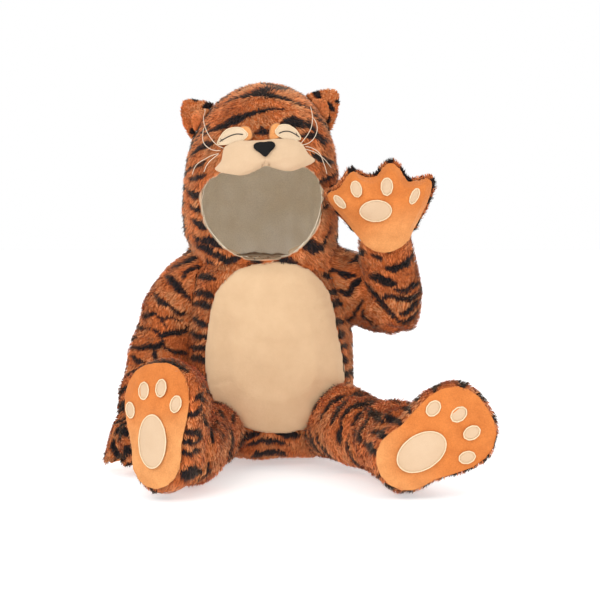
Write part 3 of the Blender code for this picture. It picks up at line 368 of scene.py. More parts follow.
BARS = {
    "torso": TORSO_SIDE
    + scattered(3, 12, 238, 17, (124, 306), 30, 4.2)
    + scattered(4, 12, 238, 17, (-306, -120), 30, 4.2)
    + [Bar(34, -44, -6, 3.6, 8), Bar(34, 8, 46, 3.6, -8)]
    + [Bar(20, -34, 34, 3.0, 0, 6), Bar(4, -34, 38, 3.6, 0, 5)],
    "hood": [
        ((122, -60, 1.0), (114, -40, 1.4), (107, -20, 2.4), (104, -5, 4.0), (103, 10, 4.6), (100, 26, 3.0),
         (97, 42, 2.4), (100, 58, 2.0), (108, 72, 1.0)),
        ((108, -4, 3.0), (117, 12, 4.6), (125, 25, 5.0), (133, 38, 3.6), (144, 50, 1.6)),
        ((82, -72, 1.4), (74, -56, 3.4), (71, -42, 4.6), (71, -30, 4.8), (75, -16, 3.2), (78, -2, 2.2),
         (81, 13, 1.8), (80, 30, 0.8)),
        ((57, 20, 0.8), (62, 30, 3.4), (63, 38, 5.0), (61, 46, 4.0), (57, 52, 1.2)),
        ((70, 40, 1.0), (66, 50, 2.0), (58, 62, 1.8), (50, 78, 1.6)),
        ((48, -9, 1.6), (48, 0, 3.6), (48, 9, 1.6)), ((54, 0, 1.6), (48, 0, 3.2)),
        ((62, -84, 2.4), (60, -72, 1.6), (54, -60, 1.0)),
        ((48, 46, 0.8), (48, 56, 2.2), (54, 70, 3.0), (58, 82, 1.6)),
        ((140, -30, 1.0), (136, -20, 2.8), (138, -8, 1.6)), Bar(50, 44, 80, 3.2, 3),
        Bar(56, 54, 78, 3.0, -38), Bar(16, 56, 88, 5.2, -20), Bar(-22, 62, 92, 4.0, 6),
        Bar(-50, 62, 92, 5.0, 8),
        ((-91, 38, 1.6), (-93, 46, 3.6), (-98, 53, 3.2), (-104, 62, 2.0), (-106, 76, 1.0)),
        ((-94, 5, 1.6), (-97, 18, 2.8), (-99, 28, 1.0)), Bar(-72, 66, 92, 3.4, 6),
        Bar(61, -92, -56, 4.0, -22), Bar(30, -94, -70, 4.0, -8), Bar(2, -94, -72, 4.6, 4),
        Bar(-35, -96, -82, 5.4, 8), Bar(-60, -94, -80, 3.4, 12), Bar(-78, -96, -72, 3.6, 12),
        ((-101, -92, 2.0), (-92, -77, 3.2), (-87, -67, 3.4), (-87, -57, 1.4)),
        ((-108, -90, 2.0), (-102, -77, 2.8), (-100, -67, 3.0), (-98, -56, 2.8), (-94, -45, 2.2),
         (-90, -36, 1.0)),
        ((-92, -30, 1.4), (-94, -22, 2.8), (-95, -14, 1.0)),
        ((-116, -78, 2.4), (-110, -62, 2.6), (-104, -46, 2.0), (-100, -30, 1.2)),
        Bar(96, -84, -60, 4.2, -14), Bar(96, 64, 88, 4.2, 14), Bar(-118, -40, -8, 3.6, 6),
        Bar(-118, 6, 44, 3.6, -6), Bar(142, -70, -30, 5.0, 8, -6), Bar(148, 0, 66, 5.4, -6, -6),
    ]
    + scattered(5, 160, 440, 20, (-94, 94), 30, 5.2, 9),
    "hood_side": scattered(18, -4, 210, 17, (-52, 100), 28, 4.4, 10),
    "sleeve_left": [
        ((24, -68, 1.4), (17, -56, 2.6), (6, -48, 1.6)),
        ((32, -50, 1.0), (28, -42, 2.4), (20, -36, 3.8), (10, -40, 2.4)),
        ((37, -18, 1.2), (30, -22, 2.4), (22, -23, 2.0), (12, -14, 1.4)),
        ((43, -48, 1.2), (45, -30, 3.4), (49, -14, 3.8), (50, -2, 2.4), (52, 10, 1.0), (43, 18, 0.8)),
        ((28, 0, 1.2), (24, 16, 3.6), (28, 32, 3.0), (36, 44, 1.2)),
        ((65, -48, 1.0), (68, -32, 1.2), (72, -23, 2.6), (73, -14, 2.8), (72, -9, 1.2), (76, 0, 2.4),
         (75, 8, 2.8), (69, 15, 1.0)),
        ((58, 22, 1.0), (60, 34, 3.4), (66, 50, 2.6), (72, 60, 1.0)),
        ((92, -50, 2.2), (91, -34, 3.2), (88, -25, 2.0), (93, -17, 1.0), (98, -8, 0.9), (104, 0, 0.8)),
        ((93, -15, 1.0), (92, -7, 2.4), (86, 4, 1.4), (82, 16, 1.0)),
        ((88, 24, 1.2), (84, 38, 3.4), (88, 54, 2.0)),
        ((104, -66, 1.4), (106, -46, 1.8), (107, -34, 0.9), (110, -22, 1.0), (115, -10, 1.8),
         (117, -1, 3.0), (111, 8, 3.4), (104, 17, 3.4), (95, 28, 2.4)),
        ((122, -70, 1.2), (120, -56, 2.8), (122, -40, 1.2)),
        ((136, -50, 2.0), (137, -32, 2.8), (134, -19, 3.4), (133, -9, 2.8), (126, 0, 3.2), (130, 8, 1.2),
         (133, 17, 2.8), (132, 29, 2.8), (126, 44, 1.2)),
        ((114, 36, 1.2), (112, 50, 3.2), (118, 62, 1.6)),
        ((148, -46, 1.2), (155, -33, 3.0), (158, -23, 1.8), (164, -16, 0.9)),
        ((136, -10, 2.0), (143, -7, 3.0), (150, -3, 2.6), (157, 1, 1.4)),
        ((152, 16, 1.4), (150, 32, 3.4), (154, 50, 1.8)),
        ((170, -62, 1.2), (172, -44, 3.6), (166, -22, 2.4), (170, -4, 1.2)),
        ((180, 2, 1.2), (176, 20, 3.6), (182, 44, 2.0)), ((194, -40, 1.6), (190, -16, 3.2), (196, 10, 1.4)),
    ]
    + scattered(6, 6, 200, 18, (62, 132), 24, 4.2)
    + scattered(7, 6, 200, 18, (-132, -70), 24, 4.2),
    "sleeve_right": [
        Bar(12, -50, 10, 4.0, -12),
        ((18, 9, 1.2), (27, 13, 2.4), (36, 14, 1.8), (44, 12, 2.8), (52, 13, 3.4), (61, 20, 1.6)),
        ((28, -58, 1.2), (34, -44, 3.4), (40, -26, 2.0), (42, -16, 1.0)),
        ((48, -9, 1.0), (56, -10, 2.6), (64, -9, 3.6), (67, 0, 3.4), (67, 8, 4.2), (72, 17, 3.4)),
        ((46, 32, 1.2), (50, 44, 3.4), (46, 60, 2.0)), ((69, -60, 1.4), (73, -48, 3.0), (79, -40, 1.4)),
        ((86, -6, 1.2), (84, -17, 2.0), (81, -29, 2.0), (80, -40, 1.2)),
        ((92, -18, 1.2), (94, -29, 2.4), (99, -36, 2.6), (104, -44, 1.4)),
        ((92, 14, 1.2), (90, 30, 3.8), (96, 48, 1.6)), ((104, -60, 1.4), (108, -50, 3.0), (112, -34, 1.4)),
        ((182, 49, 1.2), (176, 42, 2.4), (170, 34, 3.2), (161, 26, 4.0), (152, 18, 3.6), (144, 9, 2.4),
         (135, 1, 2.0), (129, -6, 2.0), (127, -13, 2.4), (130, -24, 2.8), (137, -38, 1.6)),
        ((130, 22, 1.4), (128, 38, 3.4), (134, 54, 1.6)),
        ((138, -7, 1.2), (140, -17, 2.8), (144, -26, 3.2), (146, -42, 1.6)),
        ((157, 18, 1.6), (162, 11, 2.6), (163, 3, 2.6), (159, -4, 1.8), (156, -14, 3.0), (155, -24, 3.4),
         (155, -36, 2.8), (158, -52, 1.4)),
        ((173, -2, 1.2), (169, -11, 2.8), (167, -18, 3.0), (170, -28, 2.6), (168, -46, 1.4)),
        ((190, 33, 2.2), (189, 20, 4.0), (186, 11, 4.2), (184, 3, 3.8), (179, -6, 1.6)),
        ((199, 5, 1.2), (197, -4, 2.8), (198, -12, 3.4), (198, -20, 3.4), (200, -30, 3.2), (204, -48, 2.0)),
        ((212, 50, 1.6), (215, 40, 3.2), (215, 31, 1.4)), ((213, 22, 1.2), (210, 15, 3.0), (208, 8, 1.2)),
        ((222, 8, 1.4), (219, -2, 3.4), (221, -14, 1.6)),
        ((230, -50, 1.6), (226, -34, 3.2), (229, -22, 1.4)),
    ]
    + scattered(8, 6, 236, 17, (60, 132), 24, 4.2)
    + scattered(9, 6, 236, 17, (-132, -58), 24, 4.2),
    "leg_left": [
        ((112, 22, 1.4), (124, 27, 3.2), (138, 35, 2.0)), ((94, 38, 1.6), (104, 43, 3.2), (114, 48, 1.6)),
        ((90, 70, 1.6), (95, 82, 3.2), (92, 92, 1.6)),
    ]
    + scattered(12, 2, 262, 16.5, (-138, 138), 26, 4.3, 10,
                skip=lambda at, middle: 86 < at < 142 and 14 < middle < 96),
    "leg_right": [
        ((144, -60, 2.0), (145, -40, 3.6), (150, -27, 4.4), (152, -13, 4.6), (151, 4, 3.0)),
        ((103, -8, 1.6), (102, 2, 3.2), (101, 14, 2.2)), Bar(146, -92, -62, 5.0, 4),
        Bar(128, -70, -20, 4.6, -8), Bar(112, -30, 34, 4.4, 10),
    ]
    + scattered(14, 2, 106, 16.5, (-150, 150), 28, 4.4, 10)
    + scattered(15, 118, 262, 16.5, (8, 150), 28, 4.4, 10)
    + scattered(16, 160, 262, 16.5, (-150, 4), 28, 4.4, 10),
    "mitt": [
        ((55, -36, 3.0), (49, -33, 4.2), (40, -34, 3.4), (30, -38, 1.4)),
        ((44, 25, 3.2), (36, 30, 4.2), (29, 34, 3.4), (22, 28, 1.4)),
        ((30, 66, 3.0), (25, 60, 3.8), (16, 56, 1.6)),
        ((7, 62, 2.0), (6, 55, 3.8), (4, 46, 3.0), (0, 38, 1.2)),
        ((-18, 50, 2.0), (-19, 42, 3.8), (-22, 32, 3.0), (-24, 24, 1.2)),
        ((-30, 44, 2.0), (-31, 36, 3.4), (-34, 22, 1.4)), ((20, -62, 2.0), (18, -50, 3.4), (22, -36, 1.4)),
        ((-4, -54, 2.0), (-4, -42, 3.8), (-1, -26, 1.6)),
        ((-22, -44, 2.0), (-24, -34, 3.6), (-26, -18, 1.6)), ((58, 2, 2.0), (60, 9, 3.6), (56, 16, 1.4)),
    ]
    + scattered(17, -40, 52, 13, (-22, 26), 22, 3.2, 8),
    "shoe_left": [
        ((-34, 2, 1.6), (-8, 3, 3.4), (20, 3, 3.6), (30, 6, 1.6)),
        ((58, 6, 2.0), (58, 16, 3.0), (60, 25, 1.4)), ((78, 2, 2.6), (74, 10, 3.0), (68, 17, 1.6)),
        ((74, 22, 1.6), (82, 29, 3.2), (89, 40, 1.8)),
        ((102, -2, 3.0), (98, 11, 3.2), (99, 22, 3.0), (106, 28, 2.6), (112, 18, 2.4), (114, 0, 3.0)),
        ((127, 2, 2.0), (124, 14, 2.8), (122, 31, 1.4)),
        ((143, 6, 3.4), (143, 16, 5.2), (146, 28, 4.4), (156, 54, 2.0)),
        ((142, 58, 1.6), (154, 64, 3.0), (166, 60, 2.0)), ((44, 24, 1.4), (47, 34, 3.0), (44, 46, 1.6)),
    ]
    + SHOE_SIDES["left"]
    + SHOE_SHAFT,
    "shoe_right": [
        ((-115, 0, 3.0), (-117, 16, 4.6), (-119, 36, 5.0), (-114, 50, 2.4)),
        ((-92, 4, 2.4), (-93, 20, 4.2), (-92, 50, 4.0), (-87, 66, 1.8)),
        ((-136, 4, 2.4), (-136, 24, 3.6), (-138, 44, 2.0)),
        ((-150, 2, 2.0), (-151, 22, 3.4), (-152, 42, 3.0), (-150, 64, 1.6)),
        ((172, 4, 2.0), (168, 24, 3.8), (164, 44, 2.0)),
        ((-125, 44, 1.6), (-124, 60, 3.4), (-127, 80, 3.0), (-126, 100, 1.6)),
        ((-133, 82, 2.0), (-140, 78, 3.0), (-147, 84, 2.8), (-150, 74, 1.6)),
        ((-106, 104, 2.6), (-100, 92, 3.0), (-96, 84, 1.6)),
        ((-76, 6, 1.8), (-74, 24, 3.6), (-77, 42, 2.0)),
    ]
    + SHOE_SIDES["right"]
    + SHOE_SHAFT,
    "ear_left": [
        Bar(187, -77, -65, 3.6, 15), Bar(159, -91, -81, 4.0, 13), Bar(197, -90, -82, 2.4, -1),
    ],
    "ear_right": [
        Bar(196, 44, 56, 3.2, -21), Bar(202, 60, 70, 3.2, -20), Bar(185, 71, 87, 3.2, -15),
        Bar(173, 66, 81, 3.8, -12), Bar(191, 87, 96, 2.6, 1),
    ],
}


BOLD = 1.34  # how much wider the print runs than the tables' half widths, spread by the pile
PRINT_SEED = 31


def line_of(bar):
    """A bar as rows of along, round and half width."""
    if not isinstance(bar, Bar):
        return np.array(bar, float)
    share = np.linspace(0, 1, 6)
    swell = np.sin(math.pi * share).clip(0)
    middle = bar.at + bar.slant * (share - 0.5) + bar.bend * swell
    return np.column_stack([middle, bar.start + (bar.end - bar.start) * share, bar.half * swell**0.55])


def off_segment(flat, start, end):
    """How far flat points lie from a segment, and where along it the nearest place is, from 0 to 1."""
    way = np.subtract(end, start)
    share = np.clip((flat - start) @ way / max(way @ way, 1e-6), 0, 1)
    return np.linalg.norm(flat - start - share[:, None] * way, axis=1), share


def striped(bars, along, across, points):
    """How much of the black print lies at each point, from 0 to 1."""
    ragged = 1.4 * waves(points, 0.024, PRINT_SEED) + 0.6 * waves(points, 0.007, PRINT_SEED + 1)
    flat = np.column_stack([along / MM + ragged, across / MM])
    nearest = np.full(len(flat), 9.0)
    for line in map(line_of, bars):
        for start, end in zip(line, line[1:]):
            off, share = off_segment(flat, start[:2], end[:2])
            nearest = np.minimum(nearest, off - BOLD * (start[2] + share * (end[2] - start[2])))
    return 1 - smooth(-0.6, 1.0, nearest)


def printed(bars, chart, points):
    """The print on fur. The hood's sides, where its own bars would meet in a point, take others."""
    if bars is None:
        return np.zeros(len(points))
    ink = striped(BARS[bars], chart.along, chart.across, points)
    if bars == "hood":
        upright = to_head(points)
        side = smooth(0.052, 0.070, np.abs(upright[:, 0])) * smooth(-0.030, -0.012, upright[:, 1])
        height = upright[:, 2] + 0.006 * np.sign(upright[:, 0])
        ink = np.where(side > 0.5, striped(BARS["hood_side"], height, upright[:, 1], points), ink)
    return ink


# Meshes


def arrays(mesh):
    """Points, normals and triangles of a mesh."""
    points, normals = np.empty((2, len(mesh.vertices) * 3), np.float32)
    mesh.vertices.foreach_get("co", points)
    mesh.vertices.foreach_get("normal", normals)
    mesh.calc_loop_triangles()
    corners = np.empty(len(mesh.loop_triangles) * 3, np.int32)
    mesh.loop_triangles.foreach_get("vertices", corners)
    return points.reshape(-1, 3).astype(float), normals.reshape(-1, 3).astype(float), corners.reshape(-1, 3)


def put_points(mesh, points):
    mesh.vertices.foreach_set("co", np.asarray(points, np.float32).ravel())
    mesh.update()


def set_values(mesh, name, values):
    """Writes one number for each point of the mesh, for its material."""
    layer = mesh.attributes.get(name) or mesh.attributes.new(name, "FLOAT", "POINT")
    layer.data.foreach_set("value", np.asarray(values, np.float32))


def linked(name, data):
    """A new object in the scene."""
    obj = bpy.data.objects.new(name, data)
    bpy.context.scene.collection.objects.link(obj)
    return obj


def new_object(name, points, faces):
    mesh = bpy.data.meshes.new(name)
    mesh.from_pydata(np.asarray(points).tolist(), [], faces)
    mesh.shade_smooth()
    return linked(name, mesh)


def add_modifier(obj, kind, **settings):
    made = obj.modifiers.new(kind.lower(), kind)
    for key, value in settings.items():
        setattr(made, key, value)


def apply_modifiers(obj):
    graph = bpy.context.evaluated_depsgraph_get()
    result = bpy.data.meshes.new_from_object(obj.evaluated_get(graph))
    obj.modifiers.clear()
    obj.data = result


def thickened(obj, thickness):
    """Gives an open sheet its thickness, half of it on each side."""
    add_modifier(obj, "SOLIDIFY", thickness=thickness, offset=0)
    apply_modifiers(obj)
    obj.data.shade_smooth()


def soften(work, factor, rounds):
    """Draws each point toward the middle of its neighbours, that many times."""
    axes = {"use_axis_x": True, "use_axis_y": True, "use_axis_z": True}
    for _ in range(rounds):
        bmesh.ops.smooth_vert(work, verts=work.verts, factor=factor, **axes)


def refined(node, name, cell, rounds, swell=0.0):
    """A copy of a CAD node in small even faces, its facets smoothed away. Thin sheets swell meanwhile."""
    work = bmesh.new()
    work.from_mesh(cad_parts[node].data)
    bmesh.ops.remove_doubles(work, verts=work.verts, dist=1e-5)
    work.normal_update()
    for vertex in work.verts:
        vertex.co += vertex.normal * swell
    mesh = bpy.data.meshes.new(name)
    work.to_mesh(mesh)
    work.free()
    obj = linked(name, mesh)
    add_modifier(obj, "REMESH", mode="VOXEL", voxel_size=cell, use_smooth_shade=True)
    add_modifier(obj, "SMOOTH", factor=0.5, iterations=rounds)
    apply_modifiers(obj)
    points, normals, _ = arrays(obj.data)
    put_points(obj.data, points - normals * swell)
    return obj


def finish_piece(obj, material, slot, *nodes):
    """Gives a piece its cloth, makes it ride, and lets it stand for its CAD nodes."""
    obj.data.materials.clear()
    obj.data.materials.append(material)
    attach(obj, "root")
    if nodes:
        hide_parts(*nodes)
    return obj


def tree_of(meshes):
    """Meshes as one tree for rays."""
    points, faces, start = [], [], 0
    for mesh in meshes:
        places, _, corners = arrays(mesh)
        points.append(places)
        faces.append(corners + start)
        start += len(places)
    return BVHTree.FromPolygons(np.concatenate(points).tolist(), np.concatenate(faces).tolist())


def solids(*names):
    """CAD nodes as one tree for rays."""
    return tree_of([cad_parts[name].data for name in names])


# Materials


class Shading:
    """A node material under construction."""

    def __init__(self, name, roughness, sheen, tint, sheen_roughness, specular):
        self.material = bpy.data.materials.new(name)
        self.material.use_nodes = True
        self.tree = self.material.node_tree
        self.inputs = self.tree.nodes["Principled BSDF"].inputs
        for socket, value in (
            ("Roughness", roughness), ("Sheen Weight", sheen), ("Sheen Tint", tint),
            ("Sheen Roughness", sheen_roughness), ("Specular IOR Level", specular),
        ):
            self.fill(self.inputs[socket], value)

    def node(self, kind, **settings):
        made = self.tree.nodes.new(kind)
        for key, value in settings.items():
            setattr(made, key, value)
        return made

    def fill(self, socket, value):
        """Links a socket to another one, or gives it a number or a colour."""
        if isinstance(value, bpy.types.NodeSocket):
            self.tree.links.new(value, socket)
        elif isinstance(value, tuple):
            socket.default_value = (*value, 1)
        else:
            socket.default_value = value

    def value(self, name):
        return self.node("ShaderNodeAttribute", attribute_name=name).outputs["Fac"]

    def noise(self, scale, detail=2.0, roughness=0.5, stretch=None):
        source = self.node("ShaderNodeTexCoord").outputs["Object"]
        if stretch:
            mapping = self.node("ShaderNodeMapping")
            mapping.inputs["Scale"].default_value = stretch
            self.fill(mapping.inputs["Vector"], source)
            source = mapping.outputs["Vector"]
        inputs = {"Vector": source, "Scale": scale, "Detail": detail, "Roughness": roughness}
        made = self.node("ShaderNodeTexNoise")
        for socket, value in inputs.items():
            self.fill(made.inputs[socket], value)
        return made.outputs["Fac"]

    def ramp(self, factor, *stops):
        made = self.node("ShaderNodeValToRGB")
        elements = made.color_ramp.elements
        while len(elements) < len(stops):
            elements.new(0.5)
        for element, (position, colour) in zip(elements, stops):
            element.position = position
            element.color = (*colour, 1)
        self.fill(made.inputs["Fac"], factor)
        return made.outputs["Color"]

    def mix(self, factor, first, second, blend="MIX"):
        """Mixes two colours by a share. Each of the three is a socket or a constant."""
        made = self.node("ShaderNodeMix", data_type="RGBA", blend_type=blend)
        for number, value in ((0, factor), (6, first), (7, second)):
            self.fill(made.inputs[number], value)
        return made.outputs[2]

    def times(self, share, base, factor, *stops):
        """A colour that a ramp darkens or lightens, by that share."""
        return self.mix(share, base, self.ramp(factor, *stops), "MULTIPLY")

    def math(self, operation, first, second):
        made = self.node("ShaderNodeMath", operation=operation)
        self.fill(made.inputs[0], first)
        self.fill(made.inputs[1], second)
        return made.outputs[0]

    def weighed(self, first, share, second, other):
        """Two values times their shares, added up."""
        return self.math("ADD", self.math("MULTIPLY", first, share), self.math("MULTIPLY", second, other))

    def finish(self, colour, height=None, distance=0.0):
        """Puts in the colour, and the relief where there is one."""
        self.fill(self.inputs["Base Color"], colour)
        if height is not None:
            made = self.node("ShaderNodeBump")
            made.inputs["Distance"].default_value = distance
            self.fill(made.inputs["Height"], height)
            self.fill(self.inputs["Normal"], made.outputs["Normal"])
        return self.material


def fur_material():
    """Orange pile with tan tips and black print, darkened and lightened by a tone that holds random tone with
    painted light and shade. Strands carry their share of the way to the tip.
    """
    look = Shading("fur pile", 0.9, 0.35, (1.0, 0.72, 0.5), 0.45, 0.18)
    tip = look.value("tip")
    orange = look.ramp(tip, (0.0, (0.32, 0.064, 0.018)), (0.4, (0.60, 0.147, 0.037)),
                       (0.8, (0.77, 0.224, 0.067)), (1.0, (0.84, 0.345, 0.14)))
    patches = look.ramp(look.noise(26.0, 3.0, 0.6), (0.40, (0.0, 0.0, 0.0)), (0.66, (0.75, 0.75, 0.75)))
    faded = look.mix(patches, orange, (0.75, 0.355, 0.155))
    faded = look.times(0.8, faded, look.noise(17.0), (0.36, (0.70, 0.60, 0.55)), (0.56, (1.0, 1.0, 1.0)))
    # Each strand is darkened or lightened by its tone: random from tuft to tuft, plus painted light and shade
    # from make_fur
    toned_and_painted_light = look.times(0.7, faded, look.value("tone_and_painted_light"), (0.0, (0.38, 0.32, 0.28)), (0.5, (0.96, 0.95, 0.94)),
                       (1.0, (1.40, 1.38, 1.34)))
    black = look.ramp(tip, (0.0, (0.007, 0.006, 0.008)), (0.8, (0.014, 0.013, 0.017)),
                      (1.0, (0.040, 0.036, 0.040)))
    return look.finish(look.mix(look.value("stripe"), toned_and_painted_light, black))


def backing_material():
    """The fabric that the pile stands on: as dark as the pile's roots outside, and a plain knit inside."""
    look = Shading("fur backing", 0.95, 0.1, (1.0, 0.7, 0.5), 0.5, 0.1)
    orange = look.ramp(look.noise(900.0), (0.3, (0.36, 0.080, 0.020)), (0.7, (0.58, 0.15, 0.038)))
    outside = look.mix(look.value("stripe"), orange, (0.008, 0.007, 0.008))
    knit = look.ramp(look.noise(1400.0, 1.0), (0.3, (0.72, 0.52, 0.34)), (0.7, (0.84, 0.65, 0.45)))
    return look.finish(look.mix(look.value("outer"), knit, outside), look.noise(1600.0), 0.0006)


def plush_material(name, deep, light):
    """Plush whose colour runs from light to deep where a piece carries that, partly as painted shade, with a
    soft nap.
    """
    look = Shading(name, 0.82, 0.35, (1.0, 0.78, 0.5), 0.35, 0.2)
    base = look.mix(look.value("deep"), light, deep)
    blotches = look.noise(60.0, 4.0, 0.62)
    base = look.times(0.8, base, blotches, (0.3, (0.86, 0.80, 0.74)), (0.7, (1.10, 1.12, 1.14)))
    nap = look.noise(700.0, 2.0, 0.6)
    base = look.times(0.35, base, nap, (0.3, (0.66, 0.60, 0.56)), (0.7, (1.15, 1.14, 1.13)))
    return look.finish(base, look.weighed(look.noise(160.0, 3.0), 0.8, nap, 0.4), 0.0011)


def fleece_material(name, light, dark, sheen=0.25):
    look = Shading(name, 0.85, sheen, (1.0, 0.92, 0.8), 0.4, 0.2)
    base = look.ramp(look.noise(30.0, 4.0, 0.6), (0.3, dark), (0.75, light))
    fuzz = look.noise(1500.0, 3.0, 0.7)
    base = look.times(0.25, base, fuzz, (0.3, (0.78, 0.74, 0.70)), (0.7, (1.08, 1.06, 1.05)))
    return look.finish(base, look.weighed(look.noise(240.0, 3.0), 0.5, fuzz, 0.4), 0.0007)


def satin_material(name, light, dark, roughness=0.42):
    look = Shading(name, roughness, 0.15, (1.0, 0.95, 0.85), 0.3, 0.55)
    weave = look.noise(900.0, 2.0, 0.5, (1.0, 0.12, 1.0))
    base = look.ramp(look.noise(40.0, 3.0), (0.3, dark), (0.7, light))
    base = look.times(0.5, base, weave, (0.35, (0.8, 0.78, 0.75)), (0.65, (1.06, 1.05, 1.04)))
    return look.finish(base, weave, 0.0004)


def thread_material(name, light, dark, roughness=0.6, scale=1400.0):
    look = Shading(name, roughness, 0.25, (1.0, 0.95, 0.85), 0.4, 0.4)
    twist = look.noise(scale, 2.0, 0.6)
    return look.finish(look.ramp(twist, (0.3, dark), (0.7, light)), twist, 0.0005)


MATERIALS = {
    "fur": fur_material(),
    "backing": backing_material(),
    "plush": plush_material("orange plush", (0.64, 0.200, 0.045), (0.70, 0.305, 0.105)),
    "ear": plush_material("ear plush", (0.60, 0.15, 0.04), (0.66, 0.19, 0.055)),
    "belly": fleece_material("cream fleece", (0.70, 0.485, 0.290), (0.63, 0.420, 0.245)),
    "muzzle": fleece_material("muzzle fleece", (0.67, 0.480, 0.310), (0.61, 0.425, 0.265)),
    "pad": fleece_material("pad fleece", (0.675, 0.490, 0.325), (0.62, 0.435, 0.280)),
    "lining": satin_material("cream satin", (0.95, 0.86, 0.70), (0.90, 0.79, 0.61)),
    "lid": satin_material("lid satin", (0.70, 0.535, 0.36), (0.63, 0.465, 0.30), 0.6),
    "nose": fleece_material("black satin", (0.009, 0.009, 0.009), (0.005, 0.005, 0.005), 0.0),
    "black thread": thread_material("black thread", (0.03, 0.02, 0.018), (0.008, 0.006, 0.006)),
    "rust thread": thread_material("rust thread", (0.50, 0.20, 0.07), (0.32, 0.11, 0.03)),
    "cream thread": thread_material("cream thread", (0.88, 0.72, 0.48), (0.74, 0.56, 0.35)),
    "whisker": thread_material("whisker thread", (0.86, 0.72, 0.55), (0.72, 0.56, 0.40), 0.5, 900.0),
    "tape": thread_material("zip tape", (0.62, 0.22, 0.06), (0.40, 0.12, 0.03), 0.7, 700.0),
    "zip teeth": thread_material("zip teeth", (0.55, 0.20, 0.06), (0.42, 0.14, 0.04), 0.45, 300.0),
}

# Creases, listed for each tube: millimetres along and round it, how deep, the half width and the half
# length, and the slant in degrees from straight round the tube
Crease = namedtuple("Crease", "along across depth half long slant")
CREASES = {
    "torso": (
        (60, 78, 2.2, 6, 26, 24), (88, -80, 2.0, 6, 28, -18), (118, 84, 2.4, 7, 30, 16),
        (150, -82, 2.2, 6, 24, 20), (186, 80, 2.6, 7, 30, -26), (204, -74, 2.6, 7, 26, 28),
        (28, 60, 2.6, 7, 30, -20), (26, -62, 2.6, 7, 30, 22), (48, 190, 2.6, 9, 40, 10),
        (92, 240, 2.2, 8, 34, -14), (136, 200, 2.6, 9, 38, 18), (178, 250, 2.2, 8, 30, -12),
        (46, -200, 2.4, 9, 36, -10), (98, -236, 2.6, 8, 36, 16), (140, -190, 2.2, 8, 30, -20),
        (190, -230, 2.6, 9, 34, 12), (214, 220, 2.2, 7, 26, 8),
    ),
    "hood": (
        (-62, -62, 3.2, 6, 26, 60), (-48, -78, 2.6, 6, 24, 48), (-76, -40, 2.6, 6, 22, 74),
        (-60, 66, 3.0, 6, 26, -58), (-40, 80, 2.4, 6, 24, -44), (40, -86, 1.8, 8, 26, 30),
        (22, 88, 1.8, 8, 26, -30), (240, -40, 2.6, 10, 34, 12), (262, 44, 2.8, 10, 36, -10),
        (292, -20, 3.0, 9, 40, 6), (318, 36, 2.8, 9, 34, 14), (334, -48, 2.8, 9, 30, -14),
    ),
    "sleeve_left": (
        (34, 10, 2.6, 5, 24, -34), (52, -30, 2.4, 5, 22, 26), (68, 24, 3.2, 6, 30, -38),
        (84, -24, 2.6, 5, 26, 34), (98, 18, 3.2, 6, 28, -30), (112, -34, 2.4, 5, 24, 22),
        (126, 12, 3.0, 6, 30, -24), (142, -20, 2.6, 5, 26, 28), (158, 26, 2.6, 6, 26, -18),
        (174, -10, 2.2, 5, 26, 16), (60, 90, 2.8, 6, 30, 18), (94, 100, 2.6, 6, 30, -20),
        (130, 92, 2.8, 6, 30, 14), (76, -96, 2.6, 6, 28, -22), (118, -92, 2.6, 6, 28, 20),
        (150, -100, 2.4, 6, 26, -16),
    ),
    "sleeve_right": (
        (24, 10, 2.4, 5, 24, 36), (44, -22, 3.0, 6, 28, 40), (62, 18, 2.6, 5, 24, 30),
        (82, -14, 3.2, 6, 28, 46), (98, 24, 2.6, 5, 24, 34), (112, -8, 3.4, 6, 34, 24),
        (134, 16, 2.4, 5, 26, -16), (152, -18, 2.6, 6, 28, 18), (170, 10, 2.4, 5, 26, -22),
        (190, -10, 2.6, 6, 28, 14), (208, 14, 2.2, 5, 24, -12), (50, 96, 2.6, 6, 28, 18),
        (90, 88, 2.6, 6, 28, -20), (140, 90, 2.4, 6, 28, 16), (180, 84, 2.4, 6, 26, -14),
        (70, -92, 2.6, 6, 28, -18), (160, -86, 2.4, 6, 26, 14),
    ),
    "leg_left": (
        (52, 10, 2.6, 6, 30, 22), (82, -22, 2.6, 6, 28, -26), (112, 24, 3.0, 6, 30, 30),
        (140, -8, 2.6, 6, 30, -20), (168, 20, 2.8, 6, 30, 24), (196, -18, 2.6, 6, 28, -18),
        (220, 12, 3.0, 6, 34, 12), (240, -10, 2.6, 5, 30, -10), (90, 100, 2.6, 7, 30, 16),
        (150, 104, 2.6, 7, 30, -16), (120, -98, 2.6, 7, 30, 18), (186, -96, 2.4, 7, 28, -14),
    ),
    "leg_right": (
        (46, -16, 2.8, 6, 30, -24), (76, 22, 2.8, 6, 30, 26), (104, -12, 3.2, 6, 32, -28),
        (132, 26, 2.8, 6, 30, 24), (160, -20, 2.8, 6, 30, -22), (188, 12, 3.0, 6, 32, 18),
        (214, -14, 2.8, 6, 32, -14), (236, 16, 2.6, 5, 30, 10), (84, 108, 2.6, 7, 30, 14),
        (148, 112, 2.6, 7, 30, -16), (110, -104, 2.6, 7, 30, -16), (176, -108, 2.6, 7, 30, 16),
    ),
}


def creased(creases, along, across):
    """How deep the creases lie at each place, in metres. Each is a trough with a low ridge beside it."""
    depth = np.zeros(len(along))
    for crease in map(Crease._make, creases):
        angle = math.radians(crease.slant)
        off_along, off_across = along / MM - crease.along, across / MM - crease.across
        width = off_along * math.cos(angle) - off_across * math.sin(angle)
        length = off_along * math.sin(angle) + off_across * math.cos(angle)
        fade = np.exp(-((length / crease.long) ** 4))
        trough = np.exp(-((width / crease.half) ** 2))
        ridge = np.exp(-(((width - 1.9 * crease.half) / (1.1 * crease.half)) ** 2))
        depth += crease.depth * fade * (trough - 0.45 * ridge)
    return depth * MM


# Fur

